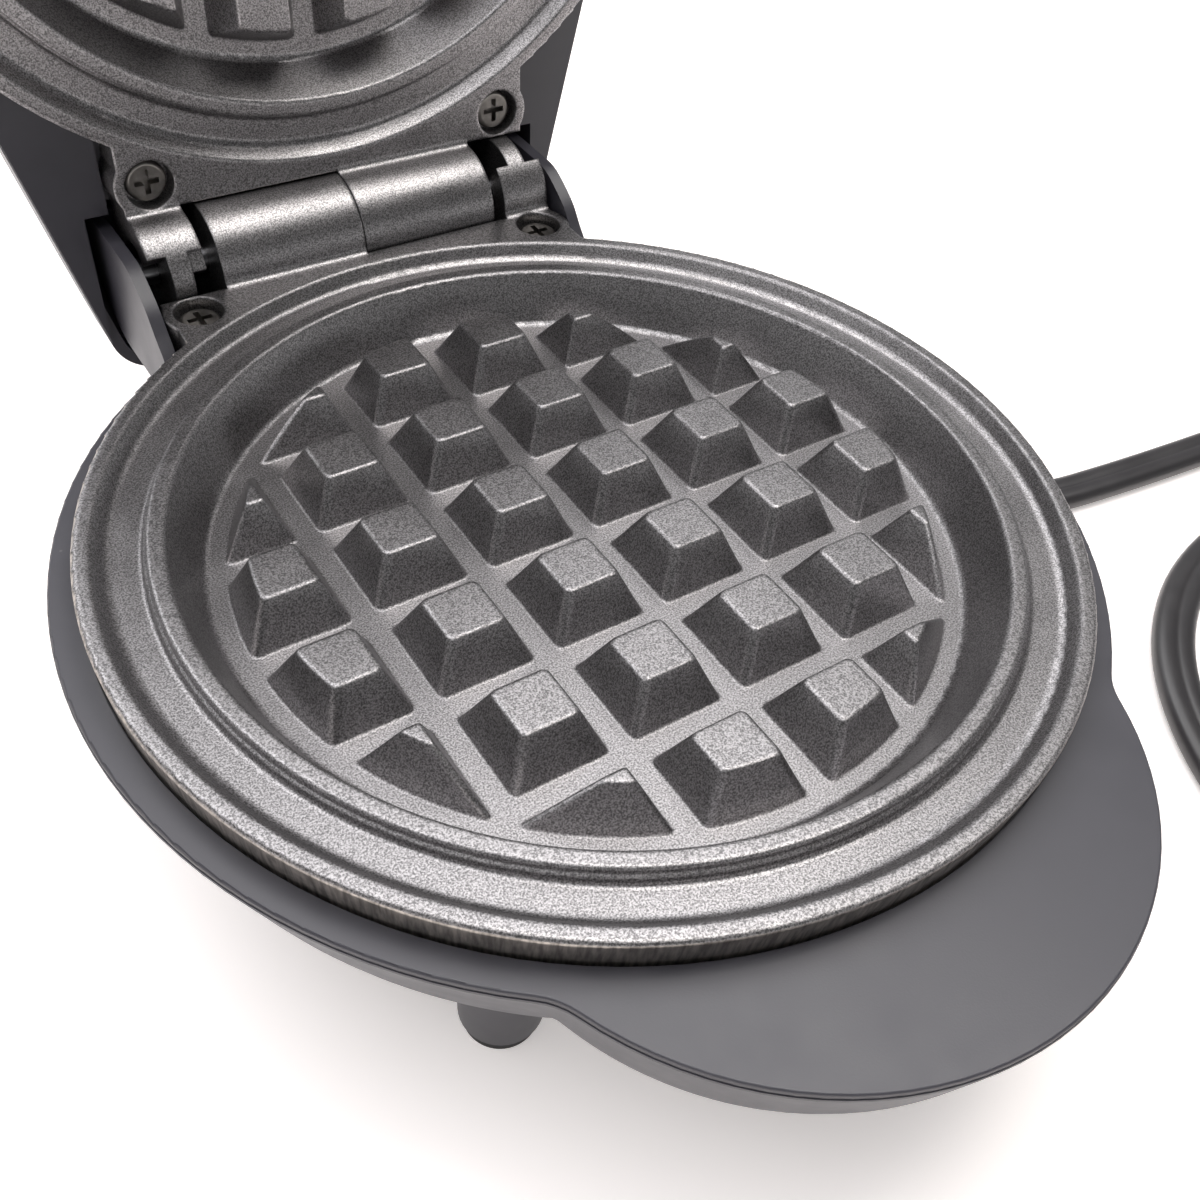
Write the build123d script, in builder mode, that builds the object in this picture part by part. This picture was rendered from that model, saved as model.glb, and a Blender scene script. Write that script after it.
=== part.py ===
"""Mini round waffle maker with a hinged lid, standing open, with its flat twin lead.

Millimetres. The plates' centre is on the Z axis, the worktop is z = 0, the handle
points to -Y and the hinge line runs along X at the back. The pieces of the lid are
drawn face up like those of the base. They are then turned over onto the base about the
fore-aft line of the contact plane, and stood open about the hinge line.
"""
import os
from math import acos, cos, hypot, pi, radians, sin, sqrt, tan

from build123d import *

os.makedirs("parts", exist_ok=True)

# Hinge and contact plane
AXIS_Y = 69.0
AXIS_Z = 36.35
OPEN_ANGLE = 94.65
CLOSED_GAP = 0.3

# Waffle plates
PLATE_R = 60.0
RIM_TOP = AXIS_Z - CLOSED_GAP / 2
SIDE_DRAFT = 0.8
RIM_IN_R = 58.0
CHANNEL_OUT_R = 56.5
CHANNEL_IN_R = 52.6
CHANNEL_FLOOR = RIM_TOP - 2.0
LIP_OUT_R = 52.0
LIP_IN_R = 50.0
CAVITY_R = 46.5
BLOCK_TOP = RIM_TOP - 1.2
BLOCK_HEIGHT = 5.8
CAVITY_FLOOR = BLOCK_TOP - BLOCK_HEIGHT
PITCH = 15.108
GROOVE_FLOOR = 2.95
GROOVE_TOP = 8.15
BLOCK_CORNER_R = 1.0
BLOCK_TIP_R = 0.5
BLOCK_EDGE_R = 0.4
BLOCK_SINK = 0.4
BLOCK_LEAN = (GROOVE_TOP - GROOVE_FLOOR) / 2 / BLOCK_HEIGHT
BLOCKS_R = 43.9
PLATE_UNDER = CAVITY_FLOOR - 3.2
PLATE_SEAT = RIM_TOP - 6.2

# Plate ear and hinge knuckles
EAR_HALF = 31.0
KNUCKLE_R = 8.0
EAR_END_Y = AXIS_Y - KNUCKLE_R - 0.35
LONG_KNUCKLE = (0.1, 21.5)
RING_SPAN = (25.6, 28.5)
FLANGE_SPAN = (23.5, 31.0)
FLANGE_SPREAD = 53.0
FLANGE_IN_R = 4.6
PIN_R = 2.0
PIN_BORE_R = PIN_R + 0.05
PIN_HALF = 31.4
SCREW_X = 27.0
SCREW_Y = 57.1
SCREW_BULGE_R = 4.8
SCREW_R = 1.45
SCREW_HOLE_R = SCREW_R + 0.05
SCREW_HEAD_R = 2.9
SCREW_SEAT = RIM_TOP - 3.0

# Housing
WALL = 1.8
SHELL_R = 63.2
SHELL_RIM = 31.2
LOBE_R = 39.75
LOBE_Y = -37.5
LOBE_BLEND = 8.0
LIP_BAND = 1.5
DECK_INSET = 0.1
DECK_TOP = 32.0
FLANGE_BOTTOM = SHELL_RIM + 0.1
DECK_BOTTOM = DECK_TOP - 3.1
DECK_BORE_R = PLATE_R - 0.3
LEDGE_IN_R = 56.5
LEDGE_OUT_R = 60.0
BASE_BOTTOM = 6.5
SIDE_TOP = 30.9
SIDE_LEAN = 21.5
DISH_BEND = 22.0
LOBE_BOTTOM = 15.0
LOBE_LEAN = 16.0
LOBE_BEND = 12.0
BLEND_DROP = 6.5

# Hinge box of the base
CHEEK_IN = 32.0
CHEEK_OUT = 33.8
CHEEK_TOP = 41.2
TROUGH_R = 11.5
TROUGH_T = 1.8
BOX_HALF = 30.0
BOX_REAR = 72.3
BOX_TOP = AXIS_Z - TROUGH_R - 0.2
BAY_FRONT = 52.0
CHEEK_FRONT = BAY_FRONT - 1.0
PLATE_POST_R = 3.2
PLATE_SCREW_L = 14.0
TAB_IN = 20.5
TAB_BOTTOM = AXIS_Z - TROUGH_R + 1.0

# Lid
LID_BOTTOM = AXIS_Z - 34.6
LID_SIDE_TOP = 28.0
LID_LEAN = 13.0
LID_BEND = 30.0
COVER_R = 18.6
COVER_FRONT = (46.1, 40.0)
COVER_REAR = (34.1, 87.0)
COVER_CORNER_R = 7.0
COVER_WALL = 1.4
LID_BAY_HALF = 35.5
LID_BAY_Y = 61.8
EAR_BAY_HALF = 32.15
LENS_Y = -20.0
LENS_R = 3.6

# Heaters, clamps and reflectors
HEATER_R = 36.0
TUBE_R = 3.0
HEATER_Z = PLATE_UNDER - TUBE_R - 0.05
HEATER_GAP = 32.0
CLAMP_T = 1.0
CLAMP_TOP = HEATER_Z - TUBE_R - 0.05
REFLECTOR_T = 0.8
REFLECTOR_TOP = CLAMP_TOP - CLAMP_T
CLAMP_SCREWS_R = 25.5
NOTCH_HALF = 13.0

FUSE_R = 2.2
FUSE_Y = 44.0
FUSE_Z = PLATE_UNDER - FUSE_R - 0.05
FUSE_SCREW_Y = FUSE_Y - FUSE_R - 4.2

# Feet
FOOT_PLACES = ((33.5, -36.2), (-33.5, -36.2), (23.0, 61.0), (-23.0, 61.0))
FOOT_R = 4.4
FOOT_H = 2.5
LEG_R = 4.9
FOOT_STEM_R = 2.4

# Lead
CORD_W = 6.4
CORD_T = 3.4
EXIT_X = -14.0
EXIT_Z = 12.0

RELIEF_W = 10.0
RELIEF_T = 7.0
RELIEF_L = 20.0
CORD_CLAMP_Y = 59.0
CORD_CLAMP_Z = EXIT_Z + CORD_T / 2
CORD_CLAMP_SCREWS = ((EXIT_X - 6.4, CORD_CLAMP_Y), (EXIT_X + 6.4, CORD_CLAMP_Y))

# Route of the lead from inside the box to the coil, and the coil's turns
CORD_IN_Y = 54.0
FLOOR_LINE = CORD_T / 2
ROUTE_IN_AIR = ((EXIT_X, CORD_IN_Y, EXIT_Z), (EXIT_X, 103.0, EXIT_Z), (EXIT_X, 126.0, FLOOR_LINE))
ROUTE_ON_TABLE = (
    (EXIT_X, 147.0),
    (-4.0, 164.3),
    (13.3, 174.3),
    (33.3, 174.3),
    (50.6, 164.3),
    (60.6, 147.0),
    (59.5, 107.0),
    (64.0, 57.0),
    (63.0, 17.0),
    (83.1, -5.3),
    (110.0, -9.2),
    (150.0, -13.0),
    (172.5, -27.0),
    (182.0, -53.0),
    (182.0, -86.0),
    (170.5, -113.0),
    (144.5, -128.5),
    (104.6, -131.0),
    (80.2, -116.9),
    (66.1, -92.5),
    (66.1, -64.3),
    (80.2, -39.9),
    (104.6, -25.8),
    (124.6, -25.8),
)
COIL_RIGHT_X = 131.0
COIL_LEFT_X = 111.7
COIL_BOTTOM_Y = -110.0
COIL_TOP_Y = -42.0
COIL_END_Y = COIL_BOTTOM_Y + CORD_W + 0.6
CROSSING_Z = FLOOR_LINE + CORD_T + 0.5
CROSSING_X = (128.0, 106.0)

# Plug
PLUG_X = 62.0
PLUG_L = 30.0
PLUG_W = 20.0
PLUG_T = 15.0
PLUG_RISE_X = (86.0, 70.0)
BLADE_L = 16.0
BLADE_GAP = 12.7

# Leads inside the housing
LEAD_R = 1.1
LAMP_LEAD_R = 0.8
LEAD_Z = EXIT_Z
PIN_X = 5.1
PIN_Y = 36.0
CONNECTOR_R = 3.4
CONNECTOR_Y = 50.0

# Screws that hold the deck from below
DECK_SCREWS = ((48.7, -28.1), (-48.7, -28.1), (51.0, 23.7), (-51.0, 23.7))
DECK_SCREW_SEAT = 22.0
DECK_HEAD_R = 2.4
HANDLE_SCREW = ((0.0, -65.5),)
HANDLE_SCREW_SEAT = 24.0

HINGE_LINE = Axis((0, AXIS_Y, AXIS_Z), (1, 0, 0))
FORE_AFT = Axis((0, 0, AXIS_Z), (0, 1, 0))


def stand_open(piece):
    """Turn a piece of the lid over onto the base and stand it open about the hinge line."""
    return piece.rotate(FORE_AFT, 180).rotate(HINGE_LINE, -OPEN_ANGLE)


def nearest(sketch, x, y):
    """The vertex of a sketch that lies nearest to a point of its plane."""
    return sketch.vertices().sort_by_distance((x, y, 0))[0:1]


def draw_outline(inset, lobe_inset):
    """Round body and handle lobe joined by hollow blends, each inset from the shell's side."""
    body_reach = SHELL_R + LOBE_BLEND
    lobe_reach = LOBE_R - lobe_inset + LOBE_BLEND + inset
    blend_y = (body_reach**2 - lobe_reach**2 + LOBE_Y**2) / (2 * LOBE_Y)
    blend_x = sqrt(body_reach**2 - blend_y**2)
    Polygon((0, 0), (blend_x, blend_y), (0, LOBE_Y), (-blend_x, blend_y), align=None)
    with Locations((blend_x, blend_y), (-blend_x, blend_y)):
        Circle(LOBE_BLEND + inset, mode=Mode.SUBTRACT)
    Circle(SHELL_R - inset)
    with Locations((0, LOBE_Y)):
        Circle(LOBE_R - lobe_inset)


def make_block(x, y, reach_x, reach_y, corner):
    """Block of the waffle grid with soft edges, cut off round at the grid's edge.

    Reach is the distance from the block's centre to its far sides, where the grid's edge
    cuts it off instead of a groove.
    """
    with BuildPart() as block:
        for z in (CAVITY_FLOOR - BLOCK_SINK, BLOCK_TOP):
            half = PITCH / 2 - GROOVE_TOP / 2 + (BLOCK_TOP - z) * BLOCK_LEAN
            with BuildSketch(Plane.XY.offset(z)):
                with Locations((x - half, y - half)):
                    size = (half + (reach_x or half), half + (reach_y or half))
                    Rectangle(*size, align=(Align.MIN, Align.MIN))
        loft()
        if reach_y:
            with BuildSketch(Plane.XZ):
                Polygon(
                    (0, CAVITY_FLOOR - BLOCK_SINK),
                    (BLOCKS_R + BLOCK_SINK * BLOCK_LEAN, CAVITY_FLOOR - BLOCK_SINK),
                    (BLOCKS_R - BLOCK_HEIGHT * BLOCK_LEAN, BLOCK_TOP),
                    (0, BLOCK_TOP),
                    align=None,
                )
            revolve(axis=Axis.Z, mode=Mode.INTERSECT)
        fillet([e for e in block.edges() if e.bounding_box().size.Z > BLOCK_HEIGHT / 2], corner)
        fillet(block.faces().sort_by(Axis.Z)[-1].edges(), BLOCK_EDGE_R)
    return block.part


# Waffle grid: whole blocks in the middle, and one kind cut off beside each axis and diagonal
whole_block = make_block(0, 0, 0, 0, BLOCK_CORNER_R)
edge_block = make_block(PITCH / 2, 2.5 * PITCH, 0, 20, BLOCK_CORNER_R)
end_block = make_block(1.5 * PITCH, 2.5 * PITCH, 20, 20, BLOCK_TIP_R)
steps = (-1.5, -0.5, 0.5, 1.5)
blocks = [whole_block.moved(Location((i * PITCH, k * PITCH, 0))) for i in steps for k in steps]
for cut_block in (edge_block, end_block):
    for quarter in range(4):
        blocks.append(cut_block.rotate(Axis.Z, 90 * quarter))
        blocks.append(cut_block.mirror(Plane.YZ).rotate(Axis.Z, 90 * quarter))


def draw_knuckle():
    """Side section of a knuckle on its ear, with a small root radius on top."""
    with BuildSketch(mode=Mode.PRIVATE) as knuckle:
        with Locations((AXIS_Y, AXIS_Z)):
            Circle(KNUCKLE_R)
        with Locations((EAR_END_Y - 1, PLATE_SEAT)):
            Rectangle(AXIS_Y - EAR_END_Y + 1, RIM_TOP - PLATE_SEAT, align=(Align.MIN, Align.MIN))
        fillet(nearest(knuckle, AXIS_Y - KNUCKLE_R, RIM_TOP), 1.0)
    add(knuckle.sketch)


# Lower plate casting: waffle well, drip channel, ear with screw seats, hinge knuckles
with BuildPart() as lower_plate:
    with BuildSketch(Plane.XZ) as casting_section:
        with BuildLine():
            Polyline(
                (0, PLATE_UNDER),
                (LIP_IN_R, PLATE_UNDER),
                (LIP_IN_R + 4, PLATE_SEAT),
                (PLATE_R - SIDE_DRAFT, PLATE_SEAT),
                (PLATE_R, RIM_TOP),
                (RIM_IN_R, RIM_TOP),
                (CHANNEL_OUT_R, CHANNEL_FLOOR),
                (CHANNEL_IN_R, CHANNEL_FLOOR),
                (LIP_OUT_R + 0.4, RIM_TOP - 1.0),
                (LIP_OUT_R + 0.1, RIM_TOP - 0.9),
                (LIP_OUT_R, RIM_TOP),
                (LIP_IN_R, RIM_TOP),
                (CAVITY_R, CAVITY_FLOOR),
                (0, CAVITY_FLOOR),
                close=True,
            )
        make_face()
        fillet(nearest(casting_section, PLATE_R, RIM_TOP), 0.5)
        fillet(nearest(casting_section, RIM_IN_R, RIM_TOP), 0.5)
        fillet(nearest(casting_section, LIP_OUT_R, RIM_TOP), 0.4)
        fillet(nearest(casting_section, LIP_IN_R, RIM_TOP), 0.5)
        fillet(nearest(casting_section, CAVITY_R, CAVITY_FLOOR), 1.0)
        fillet(nearest(casting_section, CHANNEL_OUT_R, CHANNEL_FLOOR), 1.2)
        fillet(nearest(casting_section, CHANNEL_IN_R, CHANNEL_FLOOR), 0.5)
    revolve(axis=Axis.Z)
    add(blocks)
    with BuildSketch(Plane.XY.offset(PLATE_SEAT)):
        with Locations((0, EAR_END_Y)):
            Rectangle(2 * EAR_HALF, 20, align=(Align.CENTER, Align.MAX))
        with Locations((SCREW_X, SCREW_Y), (-SCREW_X, SCREW_Y)):
            Circle(SCREW_BULGE_R)
        with Locations((0, EAR_END_Y)):
            Rectangle(90, 10, align=(Align.CENTER, Align.MIN), mode=Mode.SUBTRACT)
        Circle(PLATE_R - 1.4, mode=Mode.SUBTRACT)
    extrude(amount=RIM_TOP - PLATE_SEAT)
    with BuildSketch(Plane.YZ.offset(-LONG_KNUCKLE[1])):
        draw_knuckle()
    extrude(amount=LONG_KNUCKLE[1] - LONG_KNUCKLE[0])
    with BuildSketch(Plane.YZ.offset(RING_SPAN[0])):
        draw_knuckle()
    extrude(amount=RING_SPAN[1] - RING_SPAN[0])
    with BuildSketch(Plane.YZ.offset(FLANGE_SPAN[0])):
        draw_knuckle()
        with Locations((AXIS_Y, AXIS_Z)):
            Circle(FLANGE_IN_R, mode=Mode.SUBTRACT)
            reach = 3 * KNUCKLE_R
            across = reach * cos(radians(FLANGE_SPREAD))
            up = reach * sin(radians(FLANGE_SPREAD))
            Polygon(
                (0, 0),
                (-across, up),
                (reach, up),
                (reach, -up),
                (-across, -up),
                align=None,
                mode=Mode.SUBTRACT,
            )
    extrude(amount=FLANGE_SPAN[1] - FLANGE_SPAN[0])
    with Locations(Location((0, AXIS_Y, AXIS_Z), (0, 90, 0))):
        Cylinder(PIN_BORE_R, 80, mode=Mode.SUBTRACT)
    with Locations((SCREW_X, SCREW_Y, RIM_TOP), (-SCREW_X, SCREW_Y, RIM_TOP)):
        CounterBoreHole(SCREW_HOLE_R, 3.4, RIM_TOP - SCREW_SEAT, depth=20)
    with BuildSketch(Plane.XY.offset(CLAMP_TOP)):
        with PolarLocations(CLAMP_SCREWS_R, 3, start_angle=-90):
            Circle(3.2)
    extrude(amount=PLATE_UNDER - CLAMP_TOP)
    with BuildSketch(Plane.XY.offset(CLAMP_TOP)):
        with PolarLocations(CLAMP_SCREWS_R, 3, start_angle=-90):
            Circle(SCREW_HOLE_R)
    extrude(amount=8.0, mode=Mode.SUBTRACT)
    with BuildSketch(Plane.XY.offset(PLATE_UNDER - 4)):
        with Locations((12.5, 0), (-12.5, 0)):
            Circle(2.6)
    extrude(amount=4)
    with BuildSketch(Plane.XY.offset(PLATE_UNDER - 4)):
        with Locations((12.5, 0), (-12.5, 0)):
            Circle(SCREW_HOLE_R)
    extrude(amount=6, mode=Mode.SUBTRACT)
    with Locations((0, FUSE_SCREW_Y, PLATE_UNDER)):
        Cylinder(SCREW_HOLE_R, 2 * 2.4, mode=Mode.SUBTRACT)

# Upper plate: the same casting, with a small lug beside its flange
with BuildPart() as upper_plate:
    add(lower_plate.part)
    with BuildSketch(Plane.YZ.offset(FLANGE_SPAN[0])):
        with Locations((AXIS_Y, AXIS_Z)):
            Circle(KNUCKLE_R - 0.6)
            Circle(FLANGE_IN_R, mode=Mode.SUBTRACT)
            lug_from = radians(180 - FLANGE_SPREAD + 6)
            lug_to = radians(180 - FLANGE_SPREAD - 21)
            Polygon(
                (0, 0),
                (reach * cos(lug_from), reach * sin(lug_from)),
                (reach * cos(lug_to), reach * sin(lug_to)),
                align=None,
                mode=Mode.INTERSECT,
            )
    extrude(amount=1.9)

# Hinge pin, a plain steel rod kept in by the cheeks
with BuildPart() as hinge_pin:
    with Locations(Location((0, AXIS_Y, AXIS_Z), (0, 90, 0))):
        Cylinder(PIN_R, 2 * PIN_HALF)
    chamfer(hinge_pin.edges().filter_by(GeomType.CIRCLE), 0.4)


def draw_screw_cross():
    """Cross recess of a screw head."""
    Rectangle(3.4, 0.8)
    Rectangle(0.8, 3.4)


# Plate screws, sunk in the ear
with BuildPart() as lower_plate_screws:
    with Locations((SCREW_X, SCREW_Y, SCREW_SEAT), (-SCREW_X, SCREW_Y, SCREW_SEAT)):
        Cylinder(SCREW_HEAD_R, 1.8, align=(Align.CENTER, Align.CENTER, Align.MIN))
        Cylinder(SCREW_R, PLATE_SCREW_L, align=(Align.CENTER, Align.CENTER, Align.MAX))
    fillet(lower_plate_screws.edges().group_by(Axis.Z)[-1], 0.7)
    with BuildSketch(Plane.XY.offset(SCREW_SEAT + 1.8)):
        with Locations((SCREW_X, SCREW_Y), (-SCREW_X, SCREW_Y)):
            draw_screw_cross()
    extrude(amount=-1.2, mode=Mode.SUBTRACT)


def draw_bay(half, front, mode):
    """The hinge bay: everything behind a line and between two sides."""
    with Locations((0, front)):
        Rectangle(2 * half, 60, align=(Align.CENTER, Align.MIN), mode=mode)


# Base deck: rim around the plate, handle top, hinge cheeks, trough under the knuckles
with BuildPart() as base_deck:
    with BuildSketch(Plane.XY.offset(FLANGE_BOTTOM)):
        draw_outline(DECK_INSET, DECK_INSET)
    extrude(amount=DECK_TOP - FLANGE_BOTTOM)
    fillet(base_deck.faces().sort_by(Axis.Z)[-1].edges(), 0.3)
    with BuildSketch(Plane.XY.offset(DECK_BOTTOM)):
        draw_outline(LIP_BAND + 0.1, LIP_BAND + 0.1)
    extrude(amount=FLANGE_BOTTOM - DECK_BOTTOM)
    with BuildSketch(Plane.XY.offset(PLATE_SEAT - 1.8)):
        Circle(LEDGE_OUT_R)
    extrude(amount=1.8)
    with BuildSketch(Plane.XY.offset(PLATE_SEAT)):
        Circle(DECK_BORE_R)
    extrude(amount=10, mode=Mode.SUBTRACT)
    with BuildSketch(Plane.XY.offset(PLATE_SEAT - 10)):
        Circle(LEDGE_IN_R)
        draw_bay(CHEEK_OUT, BAY_FRONT, Mode.ADD)
    extrude(amount=30, mode=Mode.SUBTRACT)
    with BuildSketch(Plane.XY.offset(DECK_SCREW_SEAT + 5)):
        with Locations(*DECK_SCREWS):
            Circle(2.9)
    extrude(amount=PLATE_SEAT - 1 - DECK_SCREW_SEAT - 5)
    with BuildSketch(Plane.XY.offset(HANDLE_SCREW_SEAT + 2.2)):
        with Locations(*HANDLE_SCREW):
            Circle(2.9)
    extrude(amount=DECK_BOTTOM + 1 - HANDLE_SCREW_SEAT - 2.2)
    with BuildSketch(Plane.YZ.offset(-CHEEK_OUT)) as cheek_section:
        with BuildLine():
            Spline(
                (BAY_FRONT + 0.4, DECK_TOP - 0.6),
                (55.5, 35.0),
                (57.5, 37.3),
                (60.5, 39.4),
                (63.0, 40.7),
                (67.0, CHEEK_TOP),
                tangents=((0.45, 1), (1, 0)),
            )
            rear = sqrt(TROUGH_R**2 - (CHEEK_TOP - AXIS_Z) ** 2)
            Line((67.0, CHEEK_TOP), (AXIS_Y + rear, CHEEK_TOP))
            ThreePointArc(
                (AXIS_Y + rear, CHEEK_TOP),
                (AXIS_Y + TROUGH_R * sin(radians(60)), AXIS_Z - TROUGH_R / 2),
                (AXIS_Y, AXIS_Z - TROUGH_R),
            )
            Line((AXIS_Y, AXIS_Z - TROUGH_R), (CHEEK_FRONT, AXIS_Z - TROUGH_R))
            Line((CHEEK_FRONT, AXIS_Z - TROUGH_R), (CHEEK_FRONT, DECK_TOP - 0.6))
            Line((CHEEK_FRONT, DECK_TOP - 0.6), (BAY_FRONT + 0.4, DECK_TOP - 0.6))
        make_face()
    extrude(amount=2 * CHEEK_OUT)
    with BuildSketch(Plane.YZ.offset(-CHEEK_IN)):
        with Locations((AXIS_Y, AXIS_Z)):
            Circle(TROUGH_R - TROUGH_T)
        with Locations((AXIS_Y, AXIS_Z - TROUGH_R + TROUGH_T)):
            Rectangle(40, 40, align=(Align.MAX, Align.MIN))
            Rectangle(TROUGH_R - TROUGH_T, 40, align=(Align.MIN, Align.MIN))
            Rectangle(40, 40, align=(Align.MIN, Align.MAX), mode=Mode.SUBTRACT)
        with Locations((AXIS_Y, AXIS_Z - 30)):
            Rectangle(20, 30, align=(Align.MIN, Align.MIN), mode=Mode.SUBTRACT)
        with Locations((AXIS_Y, AXIS_Z)):
            Circle(TROUGH_R - TROUGH_T)
    extrude(amount=2 * CHEEK_IN, mode=Mode.SUBTRACT)
    with BuildSketch(Plane.XY.offset(TAB_BOTTOM)):
        with Locations((TAB_IN, BAY_FRONT)):
            Rectangle(CHEEK_IN - TAB_IN + 0.5, EAR_END_Y - BAY_FRONT, align=(Align.MIN, Align.MIN))
        with Locations((-TAB_IN, BAY_FRONT)):
            Rectangle(CHEEK_IN - TAB_IN + 0.5, EAR_END_Y - BAY_FRONT, align=(Align.MAX, Align.MIN))
        Circle(LIP_IN_R + 4.3, mode=Mode.SUBTRACT)
    extrude(amount=PLATE_SEAT - TAB_BOTTOM)
    with Locations((SCREW_X, SCREW_Y, PLATE_SEAT), (-SCREW_X, SCREW_Y, PLATE_SEAT)):
        Cylinder(SCREW_HOLE_R, 12, mode=Mode.SUBTRACT)
    with BuildSketch(Plane.XY.offset(DECK_SCREW_SEAT)):
        with Locations(*DECK_SCREWS):
            Circle(SCREW_HOLE_R)
    extrude(amount=PLATE_SEAT - 0.8 - DECK_SCREW_SEAT, mode=Mode.SUBTRACT)
    with BuildSketch(Plane.XY.offset(HANDLE_SCREW_SEAT)):
        with Locations(*HANDLE_SCREW):
            Circle(SCREW_HOLE_R)
    extrude(amount=DECK_TOP - 1.2 - HANDLE_SCREW_SEAT, mode=Mode.SUBTRACT)


def draw_dish(radius, side_top, lean, bottom, bend, rim, skin=0.0):
    """Half section of a dish: short upright rim, leaning side, round bend, flat bottom."""
    edge = radius - skin
    side = radius - skin / cos(radians(lean))
    foot = side - (side_top - bottom - skin) * tan(radians(lean))
    with BuildSketch(mode=Mode.PRIVATE) as dish:
        with BuildLine():
            Polyline(
                (0, rim),
                (edge, rim),
                (edge, side_top + (side - edge) / tan(radians(lean))),
                (foot, bottom + skin),
                (0, bottom + skin),
                close=True,
            )
        make_face()
        fillet(nearest(dish, foot, bottom + skin), bend - skin)
    add(dish.sketch)


def add_blend(rim):
    """Fill the corners between body and lobe with the outline's hollow blends."""
    with BuildSketch(Plane.XY.offset(SIDE_TOP)) as top:
        draw_outline(0, 0)
    extrude(top.sketch, amount=rim - SIDE_TOP)
    with BuildSketch(Plane.XY.offset(SIDE_TOP - BLEND_DROP)) as low:
        draw_outline(BLEND_DROP * tan(radians(SIDE_LEAN)), BLEND_DROP * tan(radians(LOBE_LEAN)))
    loft([low.sketch.face(), top.sketch.face()], ruled=True)


# Room inside the base shell, less the posts that stand in it
with BuildPart() as base_room:
    with BuildSketch(Plane.XZ):
        draw_dish(SHELL_R, SIDE_TOP, SIDE_LEAN, BASE_BOTTOM, DISH_BEND, DECK_TOP, WALL)
    revolve(axis=Axis.Z)
    with BuildSketch(Plane.XZ.offset(-LOBE_Y)):
        draw_dish(LOBE_R, SIDE_TOP, LOBE_LEAN, LOBE_BOTTOM, LOBE_BEND, DECK_TOP, WALL)
    revolve(axis=Axis((0, LOBE_Y, 0), (0, 0, 1)))
    with BuildSketch(Plane.XY.offset(BASE_BOTTOM + WALL)):
        with Locations((0, BOX_REAR - WALL)):
            RectangleRounded(2 * (BOX_HALF - WALL), 40, 3.2, align=(Align.CENTER, Align.MAX))
    extrude(amount=BOX_TOP)
    with BuildSketch(Plane.XY.offset(BASE_BOTTOM)):
        with Locations((SCREW_X, SCREW_Y), (-SCREW_X, SCREW_Y)):
            Circle(PLATE_POST_R)
    extrude(amount=BOX_TOP - BASE_BOTTOM, mode=Mode.SUBTRACT)
    with BuildSketch(Plane.XY.offset(BASE_BOTTOM)):
        with Locations(*DECK_SCREWS):
            Circle(4.4)
    extrude(amount=DECK_SCREW_SEAT + 4.8 - BASE_BOTTOM, mode=Mode.SUBTRACT)
    with BuildSketch(Plane.XY.offset(BASE_BOTTOM)):
        with Locations(*HANDLE_SCREW):
            Circle(4.4)
    extrude(amount=HANDLE_SCREW_SEAT + 2 - BASE_BOTTOM, mode=Mode.SUBTRACT)
    with BuildSketch(Plane.XY.offset(BASE_BOTTOM)):
        with Locations(*FOOT_PLACES):
            Circle(LEG_R + 0.6)
    extrude(amount=4.5, mode=Mode.SUBTRACT)
    with BuildSketch(Plane.XY.offset(BASE_BOTTOM)):
        with Locations((EXIT_X, CORD_CLAMP_Y)):
            Rectangle(CORD_W + 1, 5)
    extrude(amount=EXIT_Z - CORD_T / 2 - BASE_BOTTOM, mode=Mode.SUBTRACT)
    with BuildSketch(Plane.XY.offset(BASE_BOTTOM)):
        with Locations(*CORD_CLAMP_SCREWS):
            Circle(2.6)
    extrude(amount=CORD_CLAMP_Z - BASE_BOTTOM, mode=Mode.SUBTRACT)

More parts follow.
